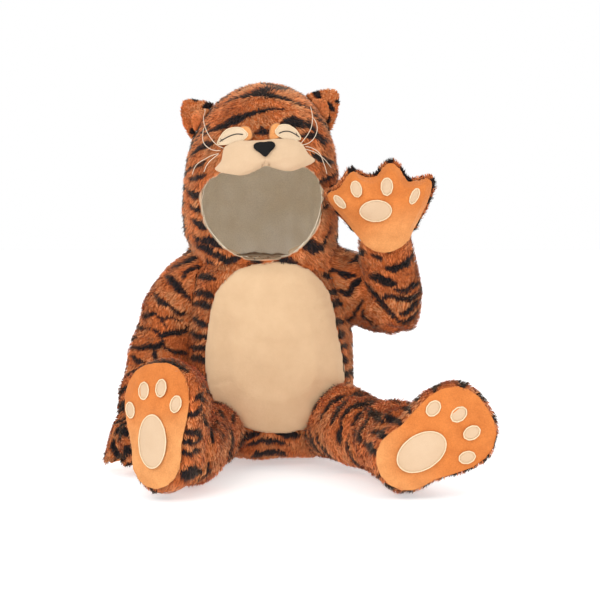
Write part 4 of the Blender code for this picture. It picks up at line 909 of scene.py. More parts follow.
CELL, MITT_CELL = 4.3 * MM, 2.8 * MM  # of the backings' faces
SEAM = 0.3 * MM  # between pieces of fabric that meet
DEEPEN = 1.25  # how much deeper the creases run than their tables say
OUTER_SHARE = 0.75  # pile stands where a face is this much on the outside
FREE = 0.12  # a paw's fur faces out where nothing of its own piece lies nearer than this before it
PAINTED_PILE_LIGHT = {  # of the pile's tone, as painted light: the legs and shoe covers painted lighter, the torso's front painted darker, for how light falls on them
    "leg_right_pile": 0.45, "leg_left_pile": 0.25, "torso_front_pile": -0.08,
    "shoe_right_upper_pile": 0.30, "shoe_left_upper_pile": 0.22,
}
NECK_REACH = 0.074  # a sleeve's end this near the middle, and above this height, lies inside the hood
NECK_LOW = -0.012

# Each fur piece: its chart, its bars, and the size of the panel that it is cut from
FurPiece = namedtuple("FurPiece", "node chart bars wide long area")
FUR_PIECES = (
    FurPiece("torso_front", "torso", "torso", 0.30, 0.24, 0.044),
    FurPiece("torso_back_left", "torso", "torso", 0.17, 0.24, 0.037),
    FurPiece("torso_back_right", "torso", "torso", 0.17, 0.24, 0.037),
    FurPiece("hood_front", "hood", "hood", 0.36, 0.22, 0.051),
    FurPiece("hood_back", "hood", "hood", 0.33, 0.27, 0.064),
    FurPiece("sleeve_left", "sleeve_left", "sleeve_left", 0.28, 0.22, 0.043),
    FurPiece("sleeve_right", "sleeve_right", "sleeve_right", 0.28, 0.22, 0.043),
    FurPiece("leg_left", "leg_left", "leg_left", 0.31, 0.24, 0.046),
    FurPiece("leg_right", "leg_right", "leg_right", 0.31, 0.24, 0.046),
    FurPiece("mitt_left_back", "mitt_left", "mitt", 0.125, 0.145, 0.0112),
    FurPiece("mitt_right_back", "mitt_right", "mitt", 0.125, 0.145, 0.0112),
    FurPiece("shoe_left_upper", "shoe_left", "shoe_left", 0.36, 0.14, 0.034),
    FurPiece("shoe_right_upper", "shoe_right", "shoe_right", 0.36, 0.14, 0.034),
)


def room_beside(points, normals, tree):
    """How far off the next piece of fur lies from each point, up to NEIGHBOUR."""
    room = np.full(len(points), NEIGHBOUR)
    for k, (point, normal) in enumerate(zip(points, normals)):
        way = Vector(normal)
        far = tree.ray_cast(Vector(point) + way * (0.1 * MM), way, NEIGHBOUR)[3]
        if far is not None:
            room[k] = far
    return room


def evened(mesh, values, rounds):
    """Values at a mesh's points, averaged with their neighbours' that many times."""
    ends = np.empty(len(mesh.edges) * 2, np.int32)
    mesh.edges.foreach_get("vertices", ends)
    here, there = np.concatenate([ends.reshape(-1, 2), ends.reshape(-1, 2)[:, ::-1]]).T
    count = np.bincount(here, minlength=len(values))
    for _ in range(rounds):
        total = np.bincount(here, values[there], len(values))
        values = 0.5 * values + 0.5 * total / np.maximum(count, 1)
    return values


def outward_share(piece, obj, points, normals, out):
    """How much of each point of a backing faces out, from 0 to 1, and whether it lies on a sleeve's end
    inside the hood, which counts as in."""
    outer = smooth(-0.05, 0.35, (normals * out).sum(1))
    if piece.chart in STANCES:
        own = solids(piece.node)
        free = [own.ray_cast(Vector(p) + Vector(n) * (3 * MM), Vector(n), FREE)[0] is None
                for p, n in zip(points, normals)]
        outer = np.maximum(outer, np.clip(evened(obj.data, np.array(free, float), 2) * 2 - 1, 0, 1))
    hidden = (np.hypot(points[:, 0], points[:, 1]) < NECK_REACH) & (points[:, 2] > NECK_LOW)
    hidden &= piece.node.startswith("sleeve")
    return np.where(hidden, 0, outer), hidden


def sewn_to(piece):
    """What else a fur panel is sewn to, apart from the other fur panels."""
    if piece.chart in STANCES:
        return [piece.chart + ("_palm" if piece.bars == "mitt" else "_sole")]
    return ["belly_panel"] if piece.node == "torso_front" else []


def make_backing(piece):
    """The backing of one fur panel, under its pile, with its creases. Gives the object, and how much each
    point faces out."""
    mitt = piece.bars == "mitt"
    back = piece.node.startswith("torso_back")
    obj = refined(piece.node, piece.node + "_backing", MITT_CELL if mitt else CELL, 4)
    points, normals, _ = arrays(obj.data)
    chart = CHARTS[piece.chart](points)
    out = unit(points - chart.core)
    outer, hidden = outward_share(piece, obj, points, normals, out)
    others = [other.node for other in FUR_PIECES if other is not piece]
    room = room_beside(points, normals, solids(*others, *sewn_to(piece)))
    beside = 1 - smooth(0.5 * NEIGHBOUR, NEIGHBOUR, room)
    reach = (0.95 - 0.5 * smooth(0.3 * NEIGHBOUR, 0.6 * NEIGHBOUR, room)) * room
    if back:
        at_zip = smooth(ZIP_REACH, 0.6 * ZIP_REACH, np.abs(points[:, 0] - ZIP_MIDDLE))
        reach = reach * (1 - 0.85 * at_zip * smooth(ZIP_FOOT, ZIP_FOOT + 8 * MM, points[:, 2]))
    grown = evened(obj.data, beside * (reach + SEAM) + (1 - beside) * outer * -PILE, 1)
    lumps = 0.8 * MM * waves(points, 0.030, 21) + 0.4 * MM * waves(points, 0.012, 22)
    trough = creased(CREASES.get(piece.chart, ()), chart.along, chart.across)
    relief = (lumps - DEEPEN * trough) * (1 - beside)
    points = points + normals * grown[:, None] + out * (relief * outer)[:, None]
    if back:
        off = points[:, 0] - ZIP_MIDDLE
        below = smooth(ZIP_FOOT + 4 * MM, ZIP_FOOT - 2 * MM, points[:, 2])
        points[:, 0] -= 0.97 * smooth(6 * MM, 3 * MM, np.abs(off)) * below * off
    if piece.chart in STANCES:
        rows, _ = local_frame(STANCES[piece.chart])
        facing = normals @ rows[2]
        bulge = BULGE * np.exp(-(((chart.across / MM - 9) / 13) ** 2))
        if mitt:
            bulge = MITT_BULGE * smooth(-0.5, 0.5, 1 - 2 * np.abs(facing))
        points = points + (normals - facing[:, None] * rows[2]) * (bulge * outer)[:, None]
    put_points(obj.data, points)
    set_values(obj.data, "room", room)
    set_values(obj.data, "outer", np.where(hidden, 0, np.maximum(outer, beside)))
    set_values(obj.data, "stripe", printed(piece.bars, chart, points))
    return obj, outer


def covers(sewn):
    """Everything sewn over the fur, as one tree for rays: CAD nodes, and the face's pieces already made."""
    furs = {piece.node for piece in FUR_PIECES}
    bare = ("ear_left", "ear_right", "whiskers", "eye", "hood_lining", "zip")
    over = [node for name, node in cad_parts.items() if name not in furs and not name.startswith(bare)]
    return tree_of([node.data for node in over + sewn])


def outer_faces(obj, outer):
    """A mesh's points and normals, its triangles on the outside, and their areas."""
    points, normals, corners = arrays(obj.data)
    picked = corners[outer[corners].min(1) > OUTER_SHARE]
    a, b, c = (points[picked[:, k]] for k in range(3))
    return points, normals, picked, np.linalg.norm(np.cross(b - a, c - a), axis=1) / 2


def outer_area(obj, outer):
    return outer_faces(obj, outer)[3].sum()


def sown(obj, outer, count, cover, draw):
    """Roots of strands at random places outside, their normals, and how much room there is beside each."""
    points, normals, picked, area = outer_faces(obj, outer)
    chosen = picked[np.sort(draw.choice(len(picked), count, p=area / area.sum()))]
    first, second = draw.uniform(size=count), draw.uniform(size=count)
    over = first + second > 1
    first, second = np.where(over, 1 - first, first), np.where(over, 1 - second, second)
    shares = np.stack([1 - first - second, first, second], 1)[..., None]
    root = (points[chosen] * shares).sum(1)
    normal = unit((normals[chosen] * shares).sum(1))
    room = np.full(len(points), NEIGHBOUR, np.float32)
    if "room" in obj.data.attributes:
        obj.data.attributes["room"].data.foreach_get("value", room)
    keep = room[chosen].max(1) > CROWDED
    if cover:
        starts = root + normal * (0.2 * MM)
        keep &= [cover.ray_cast(Vector(p), Vector(n), COVERED)[0] is None for p, n in zip(starts, normal)]
    return root[keep], normal[keep], room[chosen].mean(1)[keep]


def strand_mesh(name, root, middle, tip, side):
    """Strands of two faces each, a straight stretch and a tapering one."""
    number = len(root)
    mesh = bpy.data.meshes.new(name)
    mesh.vertices.add(number * 5)
    bend = side * BEND_WIDTH
    body = np.stack([root - side, root + side, middle + bend, middle - bend, tip], 1)
    mesh.vertices.foreach_set("co", body.astype(np.float32).ravel())
    base = 5 * np.arange(number)[:, None]
    mesh.loops.add(number * 7)
    loops = np.concatenate([base + (0, 1, 2, 3), base + (3, 2, 4)], 1)
    mesh.loops.foreach_set("vertex_index", loops.ravel().astype(np.int32))
    mesh.polygons.add(number * 2)
    starts = (7 * np.arange(number)[:, None] + (0, 4)).ravel()
    mesh.polygons.foreach_set("loop_start", starts.astype(np.int32))
    mesh.update(calc_edges=True)
    mesh.shade_smooth()
    cells = math.ceil(math.sqrt(number))
    low = np.stack([np.arange(number) % cells, np.arange(number) // cells], 1)[:, None]
    corner = ((0.1, 0.05), (0.9, 0.05), (0.8, 0.5), (0.2, 0.5), (0.2, 0.5), (0.8, 0.5), (0.5, 0.95))
    layer = mesh.uv_layers.new(name="OFBake")
    layer.data.foreach_set("uv", ((low + np.array(corner)[None]) / cells).astype(np.float32).ravel())
    return mesh


def nearest_of(places, points):
    """The number of the nearest place to each point. Each place stands in the tree as a tiny triangle."""
    specks = [tuple(place + step) for place in places for step in ((0, 0, 0), (1e-5, 0, 0), (0, 1e-5, 0))]
    tree = BVHTree.FromPolygons(specks, [(3 * k, 3 * k + 1, 3 * k + 2) for k in range(len(places))])
    return np.array([tree.find_nearest(Vector(point))[2] for point in points])


def make_fur(name, obj, chart_of, outer, bars, count, cover, seed, length=1.0):
    """The pile of one panel: curved, tapering strands that lean with the nap and gather in tufts."""
    draw = np.random.default_rng(seed)
    root, normal, room = sown(obj, outer, count, cover, draw)
    number = len(root)
    down = chart_of(root).down
    nap = down - normal * (down * normal).sum(1)[:, None]
    nap = unit(nap + NAP_DRIFT * np.stack([waves(root, 0.030, seed + 2 + k) for k in range(3)], 1))
    nap = unit(nap - normal * (nap * normal).sum(1)[:, None] + draw.normal(0, NAP_SPREAD, (number, 3)))
    lift = LIFT + 0.10 * waves(root, 0.018, seed + 6) + draw.normal(0, LIFT_SPREAD, number)
    lift = np.clip(lift, 0.25, 0.9)[:, None]
    size = np.clip(draw.normal(1.0, 0.13, number) + 0.10 * waves(root, 0.012, seed + 7), 0.6, 1.3)
    size = (STRAND * length * size)[:, None]
    middle = root + size * BEND * unit(normal * (lift * 1.1) + nap * 0.62)
    tip = middle + size * (1 - BEND) * unit(normal * (lift * 0.42) + nap * 0.95)
    tufts = root[draw.choice(number, max(number // TUFT, 4), replace=False)]
    near = nearest_of(tufts, root)
    pull = tufts[near] - root
    pull = pull - normal * (pull * normal).sum(1)[:, None]
    tip = tip + TIP_PULL * pull
    middle = middle + BEND_PULL * pull
    across = unit(np.cross(nap, normal) + draw.normal(0, 0.35, (number, 3)))
    wide = STRAND_WIDTH * np.clip(draw.normal(1.0, 0.2, number), 0.5, 1.5)[:, None] / 2
    mesh = strand_mesh(name, root, middle, tip, across * wide)
    stripe = printed(bars, chart_of(root + PRINT_AT * (tip - root)), root) + draw.normal(0, 0.05, number)
    # The tone is random for each tuft, plus painted light for each piece, plus painted shade where another
    # piece lies near beside
    tone_and_painted_light = draw.uniform(0.22, 0.78, len(tufts))[near] + PAINTED_PILE_LIGHT.get(name, 0) - 0.3 * (1 - room / NEIGHBOUR)
    tone_and_painted_light = tone_and_painted_light + 0.10 * waves(root, 0.020, seed + 9) + draw.normal(0, 0.15, number)
    set_values(mesh, "stripe", np.repeat(np.clip(stripe, 0, 1), 5))
    set_values(mesh, "tone_and_painted_light", np.repeat(np.clip(tone_and_painted_light, 0, 1), 5))
    set_values(mesh, "tip", np.tile((0.0, 0.0, BEND_TINT, BEND_TINT, 1.0), number))
    ribbon = unit(np.cross(across, unit(tip - root)))
    ribbon *= np.sign((ribbon * normal).sum(1))[:, None]
    shading = unit(0.8 * normal + 0.35 * ribbon + draw.normal(0, 0.08, (number, 3)))
    mesh.normals_split_custom_set_from_vertices(np.repeat(shading, 5, axis=0).tolist())
    return finish_piece(linked(name, mesh), MATERIALS["fur"], "tiger_fur")


def ear_chart(points):
    """Height, and across, both in the frame's own axes. The pile runs up and out to the tip."""
    down = points * 0 + (0.7, 0.1, 0.75)
    down[:, 0] *= np.sign(points[:, 0])
    return Chart(points[:, 2], points[:, 0], points, down)


def make_ear_body(word):
    obj = refined(f"ear_{word}", f"ear_{word}_body", 2.0 * MM, 5)
    points, normals, _ = arrays(obj.data)
    points = points - normals * EAR_PILE
    corner = np.array(EAR_CORNERS[word])
    near = np.exp(-((points - corner)[:, (0, 2)] ** 2).sum(1) / EAR_TIP**2)
    points = points + near[:, None] * np.array((math.copysign(0.7, corner[0]), 0, 0.8)) * EAR_PULL
    put_points(obj.data, points)
    set_values(obj.data, "outer", np.ones(len(points)))
    set_values(obj.data, "stripe", printed(f"ear_{word}", ear_chart(points), points))
    return obj, np.ones(len(points))


def make_furs(sewn):
    cover = covers(sewn)
    backings = [(piece, *make_backing(piece)) for piece in FUR_PIECES]
    ears = [(word, *make_ear_body(word)) for word in ("left", "right")]
    total = sum(outer_area(obj, outer) for _, obj, outer in backings)
    total += EAR_DENSITY * sum(outer_area(obj, outer) for _, obj, outer in ears)
    for number, (piece, obj, outer) in enumerate(backings):
        count = int(FUR_STRANDS * outer_area(obj, outer) / total)
        length = MITT_LENGTH if piece.bars == "mitt" else 1.0
        fur = make_fur(piece.node + "_pile", obj, CHARTS[piece.chart], outer, piece.bars, count, cover,
                       SEED + 20 * number, length)
        finish_piece(obj, MATERIALS["backing"], "tiger_fur", piece.node)
    for number, (word, obj, outer) in enumerate(ears):
        count = int(EAR_DENSITY * FUR_STRANDS * outer_area(obj, outer) / total)
        make_fur(f"ear_{word}_pile", obj, ear_chart, outer, f"ear_{word}", count, cover, SEED + 900 + number,
                 EAR_LENGTH)
        finish_piece(obj, MATERIALS["backing"], "tiger_fur", f"ear_{word}")


# Plush, fleece and satin

PLUSH_CELLS = {"mitt_left": 2.2 * MM}  # and 1.5 mm on the other paws
PLUSH_WIDE = (1.028, 1.022, 1)  # how much wider palms and soles are cut, to reach the bulging fur
DEEP_AND_SHADE_REACH = {"shoe_right": 34, "mitt_right": 10, "shoe_left": -8}  # how far the deeper orange reaches down a paw; the differences between paws are painted shade and light, with the right shoe cover and right mitt painted darker and the left shoe cover lighter


def make_plush():
    for paw, stance in STANCES.items():
        palm = paw.startswith("mitt")
        name = paw + ("_palm" if palm else "_sole")
        obj = refined(name, name + "_plush", PLUSH_CELLS.get(paw, 1.5 * MM), 7, swell=1.0 * MM)
        points, normals, _ = arrays(obj.data)
        rows, middle = local_frame(stance)
        local = (points - middle) @ rows.T
        puckers = 0.9 * MM * waves(local * (1, 0.5, 1), 0.024, 52) + 0.5 * MM * waves(local, 0.011, 53)
        local = local * PLUSH_WIDE + (0, 0, 1) * (puckers * smooth(0.2, 0.8, normals @ rows[2]))[:, None]
        put_points(obj.data, local @ rows + middle)
        # The deeper orange toward the toes is the plush's own colour; each paw's shift on top of it is
        # painted shade and light
        toes_and_shade = local[:, 1] / MM + DEEP_AND_SHADE_REACH.get(paw, 0) + 8 * waves(points, 0.03, 51)
        set_values(obj.data, "deep", smooth(-46, 30, toes_and_shade))
        finish_piece(obj, MATERIALS["plush"], "orange_plush", name)
    for word in ("left", "right"):
        obj = refined(f"ear_lining_{word}", f"ear_patch_{word}", 1.3 * MM, 6)
        seen = smooth(0.0, 0.4, -arrays(obj.data)[1][:, 1])
        pile = make_fur(f"ear_patch_{word}_pile", obj, ear_chart, seen, None, PATCH_STRANDS, None, PATCH_SEED,
                        EAR_LENGTH)
        finish_piece(obj, MATERIALS["ear"], "orange_plush", f"ear_lining_{word}")


class Threads:
    """Sewn threads and cords, as round tubes along lines."""

    def __init__(self):
        self.points, self.faces = [], []

    def add(self, line, radius, closed=False, toward=FRONT, sides=6):
        line = np.asarray(line, float)
        count = len(line)
        way = unit(np.roll(line, -1, 0) - np.roll(line, 1, 0) if closed else np.gradient(line, axis=0))
        side = unit(np.cross(way, toward))
        rise = np.cross(side, way)
        wide = np.full(count, radius)
        if not closed:
            wide[0] = wide[-1] = radius * 0.25
        turns = np.linspace(0, 2 * math.pi, sides, endpoint=False)
        ring = side[:, None] * np.cos(turns)[None, :, None] + rise[:, None] * np.sin(turns)[None, :, None]
        start = len(self.points)
        self.points += (line[:, None] + ring * wide[:, None, None]).reshape(-1, 3).tolist()
        for row in range(count if closed else count - 1):
            here, there = start + row * sides, start + (row + 1) % count * sides
            for k in range(sides):
                follows = (k + 1) % sides
                self.faces.append((here + k, here + follows, there + follows, there + k))
        if not closed:
            self.faces.append(tuple(start + k for k in reversed(range(sides))))
            self.faces.append(tuple(start + (count - 1) * sides + k for k in range(sides)))

    def made(self, name, material, slot, *nodes):
        return finish_piece(new_object(name, self.points, self.faces), MATERIALS[material], slot, *nodes)


def even_edge(flat):
    """The outline round flat points, as RIM_POINTS even steps, a little inside and softened."""
    edge = flat[convex_hull_2d([tuple(place) for place in flat])]
    steps = np.linalg.norm(np.roll(edge, -1, 0) - edge, axis=1)
    even = np.linspace(0, steps.sum(), RIM_POINTS, endpoint=False)
    around = np.concatenate([[0], np.cumsum(steps)])
    loop = np.concatenate([edge, edge[:1]])
    edge = np.column_stack([np.interp(even, around, loop[:, k]) for k in (0, 1)])
    edge = (np.roll(edge, 1, 0) + 2 * edge + np.roll(edge, -1, 0)) / 4
    return edge.mean(0) + (edge - edge.mean(0)) * RIM_INSET


def make_pads():
    """The pads, and the satin stitching round each."""
    rims = Threads()
    for paw, stance in STANCES.items():
        rows, middle = local_frame(stance)
        under = paw + ("_palm" if paw.startswith("mitt") else "_sole")
        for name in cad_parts:
            if not name.startswith(paw) or "pad_" not in name:
                continue
            obj = refined(name, name + "_fleece", 1.0 * MM, 8)
            finish_piece(obj, MATERIALS["pad"], "cream_fleece", name)
            local = (arrays(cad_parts[name].data)[0] - middle) @ rows.T
            tree = solids(under, name)
            down = Vector(-rows[2])
            line = []
            for across, up in even_edge(local[:, :2]):
                hit = tree.ray_cast(Vector(middle + rows.T @ (across, up, 0.05)), down, 0.1)[0]
                if hit is not None:
                    line.append(hit - down * RIM_LIFT)
            rims.add(line, RIM, closed=True, toward=rows[2])
    rims.made("pad_rims", "cream thread", "cream_satin")


# Folds of the belly: from where to where across and up, in millimetres, the half width and the depth
BELLY_FOLDS = (
    ((92, -42), (66, -46), 1.7, 1.3), ((94, -52), (62, -58), 2.0, 1.5), ((94, -66), (70, -72), 1.8, 1.1),
    ((-30, -96), (30, -99), 3.4, 0.5), ((-6, -128), (46, -126), 3.6, 0.5),
    ((-60, -62), (-38, -70), 2.4, 0.6), ((-64, -150), (-40, -142), 2.6, 0.8),
    ((86, -150), (62, -146), 2.4, 0.8), ((10, -28), (44, -30), 2.6, 0.5),
)
BELLY_WIDE = (1.018, 1.0, 1.016)


def make_belly():
    """The stuffed belly, a little over the fur round it, with shallow creases across."""
    obj = refined("belly_panel", "belly", 2.8 * MM, 7)
    points, normals, _ = arrays(obj.data)
    middle = points.mean(0)
    pucker = 0.6 * MM * waves(points * (0.35, 0.35, 1.0), 0.022, 61) + 0.5 * MM * waves(points, 0.040, 62)
    for start, end, half, deep in BELLY_FOLDS:
        off, _ = off_segment(points[:, (0, 2)] / MM, start, end)
        pucker -= deep * MM * np.exp(-((off / half) ** 2))
    points = middle + (points - middle) * BELLY_WIDE
    points = points + normals * (smooth(-0.2, 0.6, -normals[:, 1]) * pucker)[:, None]
    outward = unit((points - middle) * (1, 0, 1)) + np.array((0.0, 0.8, 0.0))
    skirt = 1 - smooth(0.05, 0.55, -normals[:, 1])
    put_points(obj.data, points + outward * (BELLY_SKIRT * skirt)[:, None])
    finish_piece(obj, MATERIALS["belly"], "cream_fleece", "belly_panel")


def on_face(flat, tree, lift):
    """Points across and up on the upright head, in millimetres, put that far off the front of the tree's
    solids."""
    way = Vector(HEAD_TURN @ (0, 1, 0))
    placed = []
    for (across, up), off in zip(flat, np.broadcast_to(lift, len(flat))):
        start = HEAD_TURN @ (across * MM, -0.3, up * MM) + (HEAD_SHIFT, 0, 0)
        hit, normal = tree.ray_cast(Vector(start), way)[:2]
        if hit is None:
            placed.append(Vector(start) + way * 0.25)
        else:
            placed.append(hit + (normal if normal.dot(way) < 0 else -normal) * float(off))
    return np.array(placed)


PATCH_POINTS, PATCH_RINGS = 48, 9


def patch(name, outline, tree, lift, material, slot, node):
    """A flat piece of cloth on the face, in rings from its middle to its edge. Gives it and its edge."""
    edge = catmull(outline, PATCH_POINTS, closed=True)
    middle = edge.mean(0)
    flat = [middle]
    for ring in range(1, PATCH_RINGS + 1):
        flat += [middle + (row - middle) * ring / PATCH_RINGS for row in edge]
    turn = [(k, (k + 1) % PATCH_POINTS) for k in range(PATCH_POINTS)]
    faces = [(0, 1 + k, 1 + follows) for k, follows in turn]
    for low in range(1, 1 + (PATCH_RINGS - 1) * PATCH_POINTS, PATCH_POINTS):
        high = low + PATCH_POINTS
        faces += [(low + k, high + k, high + follows, low + follows) for k, follows in turn]
    points = on_face(flat, tree, lift)
    obj = new_object(name, points, faces)
    work = bmesh.new()
    work.from_mesh(obj.data)
    soften(work, 0.4, 3)
    work.to_mesh(obj.data)
    work.free()
    thickened(obj, 0.9 * MM)
    return finish_piece(obj, MATERIALS[material], slot, node), points[-PATCH_POINTS:]


# The sewn face, in millimetres across and up on the upright head, as it looks from in front
LIDS = {
    "left": ((-53, 144), (-49, 152), (-42, 159), (-33, 161), (-25, 160), (-19, 155), (-18, 151), (-24, 146),
             (-33, 144), (-43, 142.5)),
    "right": ((15, 154), (20, 158.5), (26, 159.5), (34, 157), (40, 151.5), (44, 142.5), (39, 140), (29, 142),
              (20, 146), (15.5, 150)),
}
INNER_CORNERS = {
    "left": ((-27, 159.5), (-22, 162), (-16, 160.5), (-13, 155.5), (-13, 149), (-17, 145.5), (-24, 146),
             (-27, 152)),
    "right": ((7.5, 144.5), (8, 152), (10.5, 159), (15, 162), (20.5, 161.5), (22, 155), (20, 147), (14, 144)),
}
LASHES = {
    "left": ((-50, 146), (-47, 148), (-43, 150), (-36, 152.5), (-29.5, 153.5), (-23, 152.5)),
    "right": ((18.5, 150), (23, 151.5), (27, 152), (31.5, 151), (36, 148.5), (42.5, 143.5)),
}
LASH_TICKS = {
    "left": ((-49, 150), (-47.5, 148), (-46.5, 146.5)), "right": ((38.5, 149.5), (39.5, 147.5), (40, 145.5)),
}
FACE_WHISKERS = {
    "left": (
        ((-47, 138.5), (-55, 143.5), (-61, 154), (-65, 166.5), (-65, 181), (-65.5, 189)),
        ((-51, 136), (-60.5, 137.5), (-67, 144.5), (-68.5, 153.5), (-67, 165)),
        ((-53.5, 133), (-62.5, 130.5), (-69.5, 127), (-80, 120.5), (-86, 110)),
        ((-54, 132), (-60.5, 127), (-67, 120.5), (-72, 112.5)),
    ),
    "right": (
        ((43, 135), (51.5, 145), (57, 154), (60, 164), (60.5, 180)),
        ((43, 134), (53, 135.5), (60.5, 142), (64, 151), (63, 161), (61, 166)),
        ((49, 132.5), (58, 129), (65, 122), (68, 111), (72.5, 97)),
        ((48.5, 129.5), (59, 125), (66, 118.5), (72, 112), (79, 104)),
    ),
}
WHISKER = 0.42 * MM  # half a whisker's thickness
WHISKER_POINTS = 30
WHISKER_LIFT = 3.4 * MM  # of a whisker's middle off the fur

# Where the muzzle's outline is drawn out on the upright head, and how far
MUZZLE_SHOULDERS = (
    ((-46, 139), (-4.5, 2.5, 3.5)), ((-30, 145), (-1.0, 0.4, 2.5)), ((44, 134), (1.5, 0.8, 1.5)),
)

# The muzzle's seam and the two slits of its lip: where each lies across at GROOVE_HEIGHT, how much it leans,
# from what height to what height it runs, the half width and the depth
Groove = namedtuple("Groove", "across lean low high half deep")
GROOVES = (
    Groove(-1.4, 0.10, 113.5, 126.5, 0.8, 0.9),
    Groove(-4.2, 0.25, 104.0, 117.0, 0.9, 2.2),
    Groove(4.0, -0.20, 104.0, 117.0, 0.9, 2.2),
)
GROOVE_HEIGHT = 113


def muzzle_grooves(points):
    """How deep the muzzle's grooves lie at each point."""
    upright = to_head(points) / MM
    across, up = upright[:, 0], upright[:, 2]
    depth = np.zeros(len(points))
    for groove in GROOVES:
        at = groove.across + groove.lean * (up - GROOVE_HEIGHT)
        inside = smooth(groove.low - 1, groove.low + 1, up) * (1 - smooth(groove.high - 3, groove.high, up))
        depth += groove.deep * inside * np.exp(-(((across - at) / groove.half) ** 2))
    return depth * MM


def make_muzzle():
    obj = refined("muzzle", "muzzle_fleece", 1.0 * MM, 12)
    points, normals, _ = arrays(obj.data)
    relief = 0.5 * MM * waves(points, 0.020, 71) - muzzle_grooves(points)
    points = points + normals * (smooth(-0.1, 0.5, -normals[:, 1]) * relief)[:, None]
    upright = to_head(points)
    for corner, way in MUZZLE_SHOULDERS:
        near = np.exp(-(((upright[:, (0, 2)] - np.array(corner) * MM) / (11 * MM)) ** 2).sum(1))
        points = points + near[:, None] * (HEAD_TURN @ (np.array(way) * MM))
    put_points(obj.data, points)
    finish_piece(obj, MATERIALS["muzzle"], "cream_fleece", "muzzle")


def make_whiskers(word, front):
    whiskers = Threads()
    for route in FACE_WHISKERS[word]:
        flat = catmull(route, WHISKER_POINTS)
        lift = 0.8 * MM + WHISKER_LIFT * np.sin(np.linspace(0, 0.85 * math.pi, WHISKER_POINTS))
        line = on_face(flat, front, lift)
        for _ in range(6):
            line[1:-1] = (line[:-2] + 2 * line[1:-1] + line[2:]) / 4
        whiskers.add(line, WHISKER)
    whiskers.made(f"whisker_threads_{word}", "whisker", "cream_satin", f"whiskers_{word}")


def make_face():
    """Muzzle, nose, closed lids, inner corners, lashes and whiskers. Gives what covers the pile under it."""
    make_muzzle()
    obj = refined("nose", "nose_satin", 0.7 * MM, 7)
    finish_piece(obj, MATERIALS["nose"], "black_satin", "nose")
    hood, front = solids("hood_front"), solids("hood_front", "muzzle")
    black, rust, cream = Threads(), Threads(), Threads()
    sewn = []
    for word in ("left", "right"):
        corner, edge = patch(f"inner_eye_{word}", INNER_CORNERS[word], hood, 1.6 * MM, "plush",
                             "orange_plush", f"eye_corner_{word}")
        rust.add(edge, 0.7 * MM, closed=True)
        lid, edge = patch(f"lid_{word}", LIDS[word], hood, 2.6 * MM, "lid", "cream_satin",
                          f"eye_patch_{word}")
        cream.add(edge, 0.6 * MM, closed=True)
        black.add(on_face(catmull(LASHES[word], 24), hood, 3.2 * MM), 0.7 * MM)
        black.add(on_face(catmull(LASH_TICKS[word], 8), hood, 3.2 * MM), 0.4 * MM)
        sewn += [corner, lid]
        make_whiskers(word, front)
    black.made("lashes", "black thread", "black_satin")
    rust.made("corner_rims", "rust thread", "orange_plush")
    cream.made("lid_rims", "cream thread", "cream_satin")
    return sewn


LINING_MIDDLE = Vector((0.004, 0.004, 0.085))
GATHERS = 17  # round the neck


def make_lining():
    """The satin lining, on the inner face of its CAD solid, with soft folds that run out from the neck."""
    tree = solids("hood_lining")
    ball = bmesh.new()
    bmesh.ops.create_icosphere(ball, subdivisions=6, radius=1.0)
    lost = []
    for vertex in ball.verts:
        hit = tree.ray_cast(LINING_MIDDLE, vertex.co.normalized(), 0.2)[0]
        if hit is None:
            lost.append(vertex)
        else:
            vertex.co = hit
    bmesh.ops.delete(ball, geom=lost, context="VERTS")
    soften(ball, 0.5, 6)
    mesh = bpy.data.meshes.new("lining")
    ball.to_mesh(mesh)
    ball.free()
    obj = linked("lining", mesh)
    points, _, _ = arrays(mesh)
    inward = unit(np.array(LINING_MIDDLE) - points)
    turn = np.arctan2(points[:, 0], -points[:, 1])
    low = 1 - smooth(-0.01, 0.10, points[:, 2])
    gathers = 0.5 + 0.5 * np.sin(GATHERS * turn + 1.5 * waves(points, 0.05, 41))
    folds = 2.6 * MM * gathers * low + 3.6 * MM * smooth(-0.6, 1.6, waves(points, 0.032, 42))
    folds = folds + 0.8 * MM * smooth(-1, 1.2, waves(points, 0.014, 43))
    put_points(mesh, points + inward * (folds + 0.9 * MM)[:, None])
    thickened(obj, 1.0 * MM)
    finish_piece(obj, MATERIALS["lining"], "cream_satin", "hood_lining")


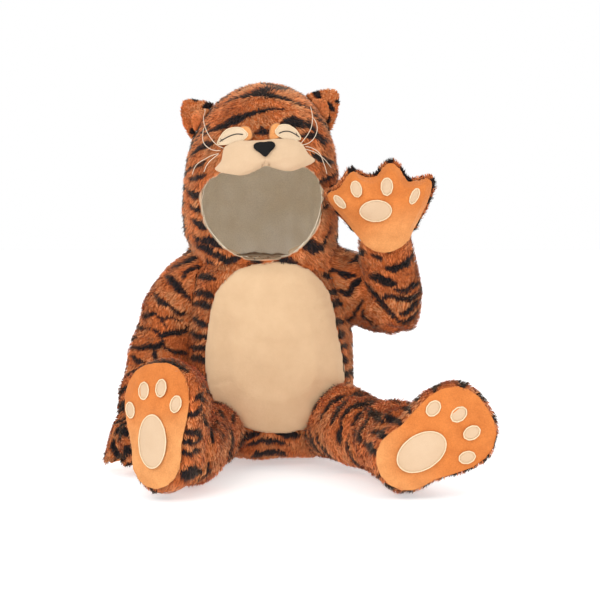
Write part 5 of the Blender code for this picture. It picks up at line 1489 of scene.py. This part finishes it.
def make_zip():
    """The woven tape, and the coil along the line where the two backs meet."""
    obj = refined("zip", "zip_tape_woven", 1.4 * MM, 2)
    finish_piece(obj, MATERIALS["tape"], "zip_tape", "zip")
    tree = solids("zip")
    heights = arrays(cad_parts["zip"].data)[0][:, 2]
    coil = Threads()
    for side in (-1, 1):
        line = []
        for height in np.linspace(heights.min() + ZIP_END, heights.max() - ZIP_END, ZIP_POINTS):
            phase = 2 * math.pi * (height - heights.min()) / ZIP_PITCH
            start = Vector((ZIP_MIDDLE + side * COIL_WIDE + COIL_WIDE * math.sin(phase), 0.2, height))
            hit = tree.ray_cast(start, Vector((0, -1, 0)), 0.3)[0]
            if hit is not None:
                line.append(hit + Vector((0, COIL_LIFT + COIL_DEEP * math.cos(phase), 0)))
        coil.add(line, 0.45 * MM, toward=(0.0, 1.0, 0.0), sides=4)
    coil.made("zip_coil", "zip teeth", "zip_tape")


# Floor, light and camera


def make_stage():
    corners = [(x, y, FLOOR) for x, y in ((-6, -6), (6, -6), (6, 6), (-6, 6))]
    floor = new_object("floor", corners, [(0, 1, 2, 3)])
    pale = bpy.data.materials.new("pale floor")
    pale.use_nodes = True
    inputs = pale.node_tree.nodes["Principled BSDF"].inputs
    inputs["Base Color"].default_value = (0.80, 0.80, 0.80, 1)
    inputs["Roughness"].default_value = 0.95
    inputs["Emission Color"].default_value = (1.0, 1.0, 1.0, 1)
    inputs["Emission Strength"].default_value = 0.45
    floor.data.materials.append(pale)


def make_light(name, place, aim, size, power):
    light = bpy.data.lights.new(name, "AREA")
    light.shape = "RECTANGLE"
    light.size, light.size_y = size
    light.energy = power
    obj = linked(name, light)
    obj.location = place
    obj.rotation_euler = (Vector(aim) - Vector(place)).to_track_quat("-Z", "Y").to_euler()


def make_lights():
    make_light("key", (-0.9, -2.2, 1.3), (0.02, 0, -0.05), (1.2, 1.2), 20)
    make_light("fill", (1.6, -1.9, 0.7), (0.02, 0, -0.05), (1.4, 1.4), 8)
    make_light("back", (0.2, 1.7, 1.6), (0.02, 0, 0.0), (1.6, 1.0), 10)
    world = bpy.data.worlds.new("studio")
    world.use_nodes = True
    background = world.node_tree.nodes["Background"]
    background.inputs["Color"].default_value = (1.0, 1.0, 1.0, 1)
    background.inputs["Strength"].default_value = 1.0
    bpy.context.scene.world = world


def make_camera():
    camera = bpy.data.cameras.new("camera")
    camera.lens = CAMERA_LENS
    camera.sensor_width = 36
    obj = linked("camera", camera)
    obj.location = CAMERA_AT
    obj.rotation_euler = (CAMERA_AIM - CAMERA_AT).to_track_quat("-Z", "Y").to_euler()
    bpy.context.scene.camera = obj


bpy.context.scene.view_settings.view_transform = "Standard"
make_camera()
make_lights()
make_stage()
make_furs(make_face())
make_plush()
make_pads()
make_belly()
make_lining()
make_zip()
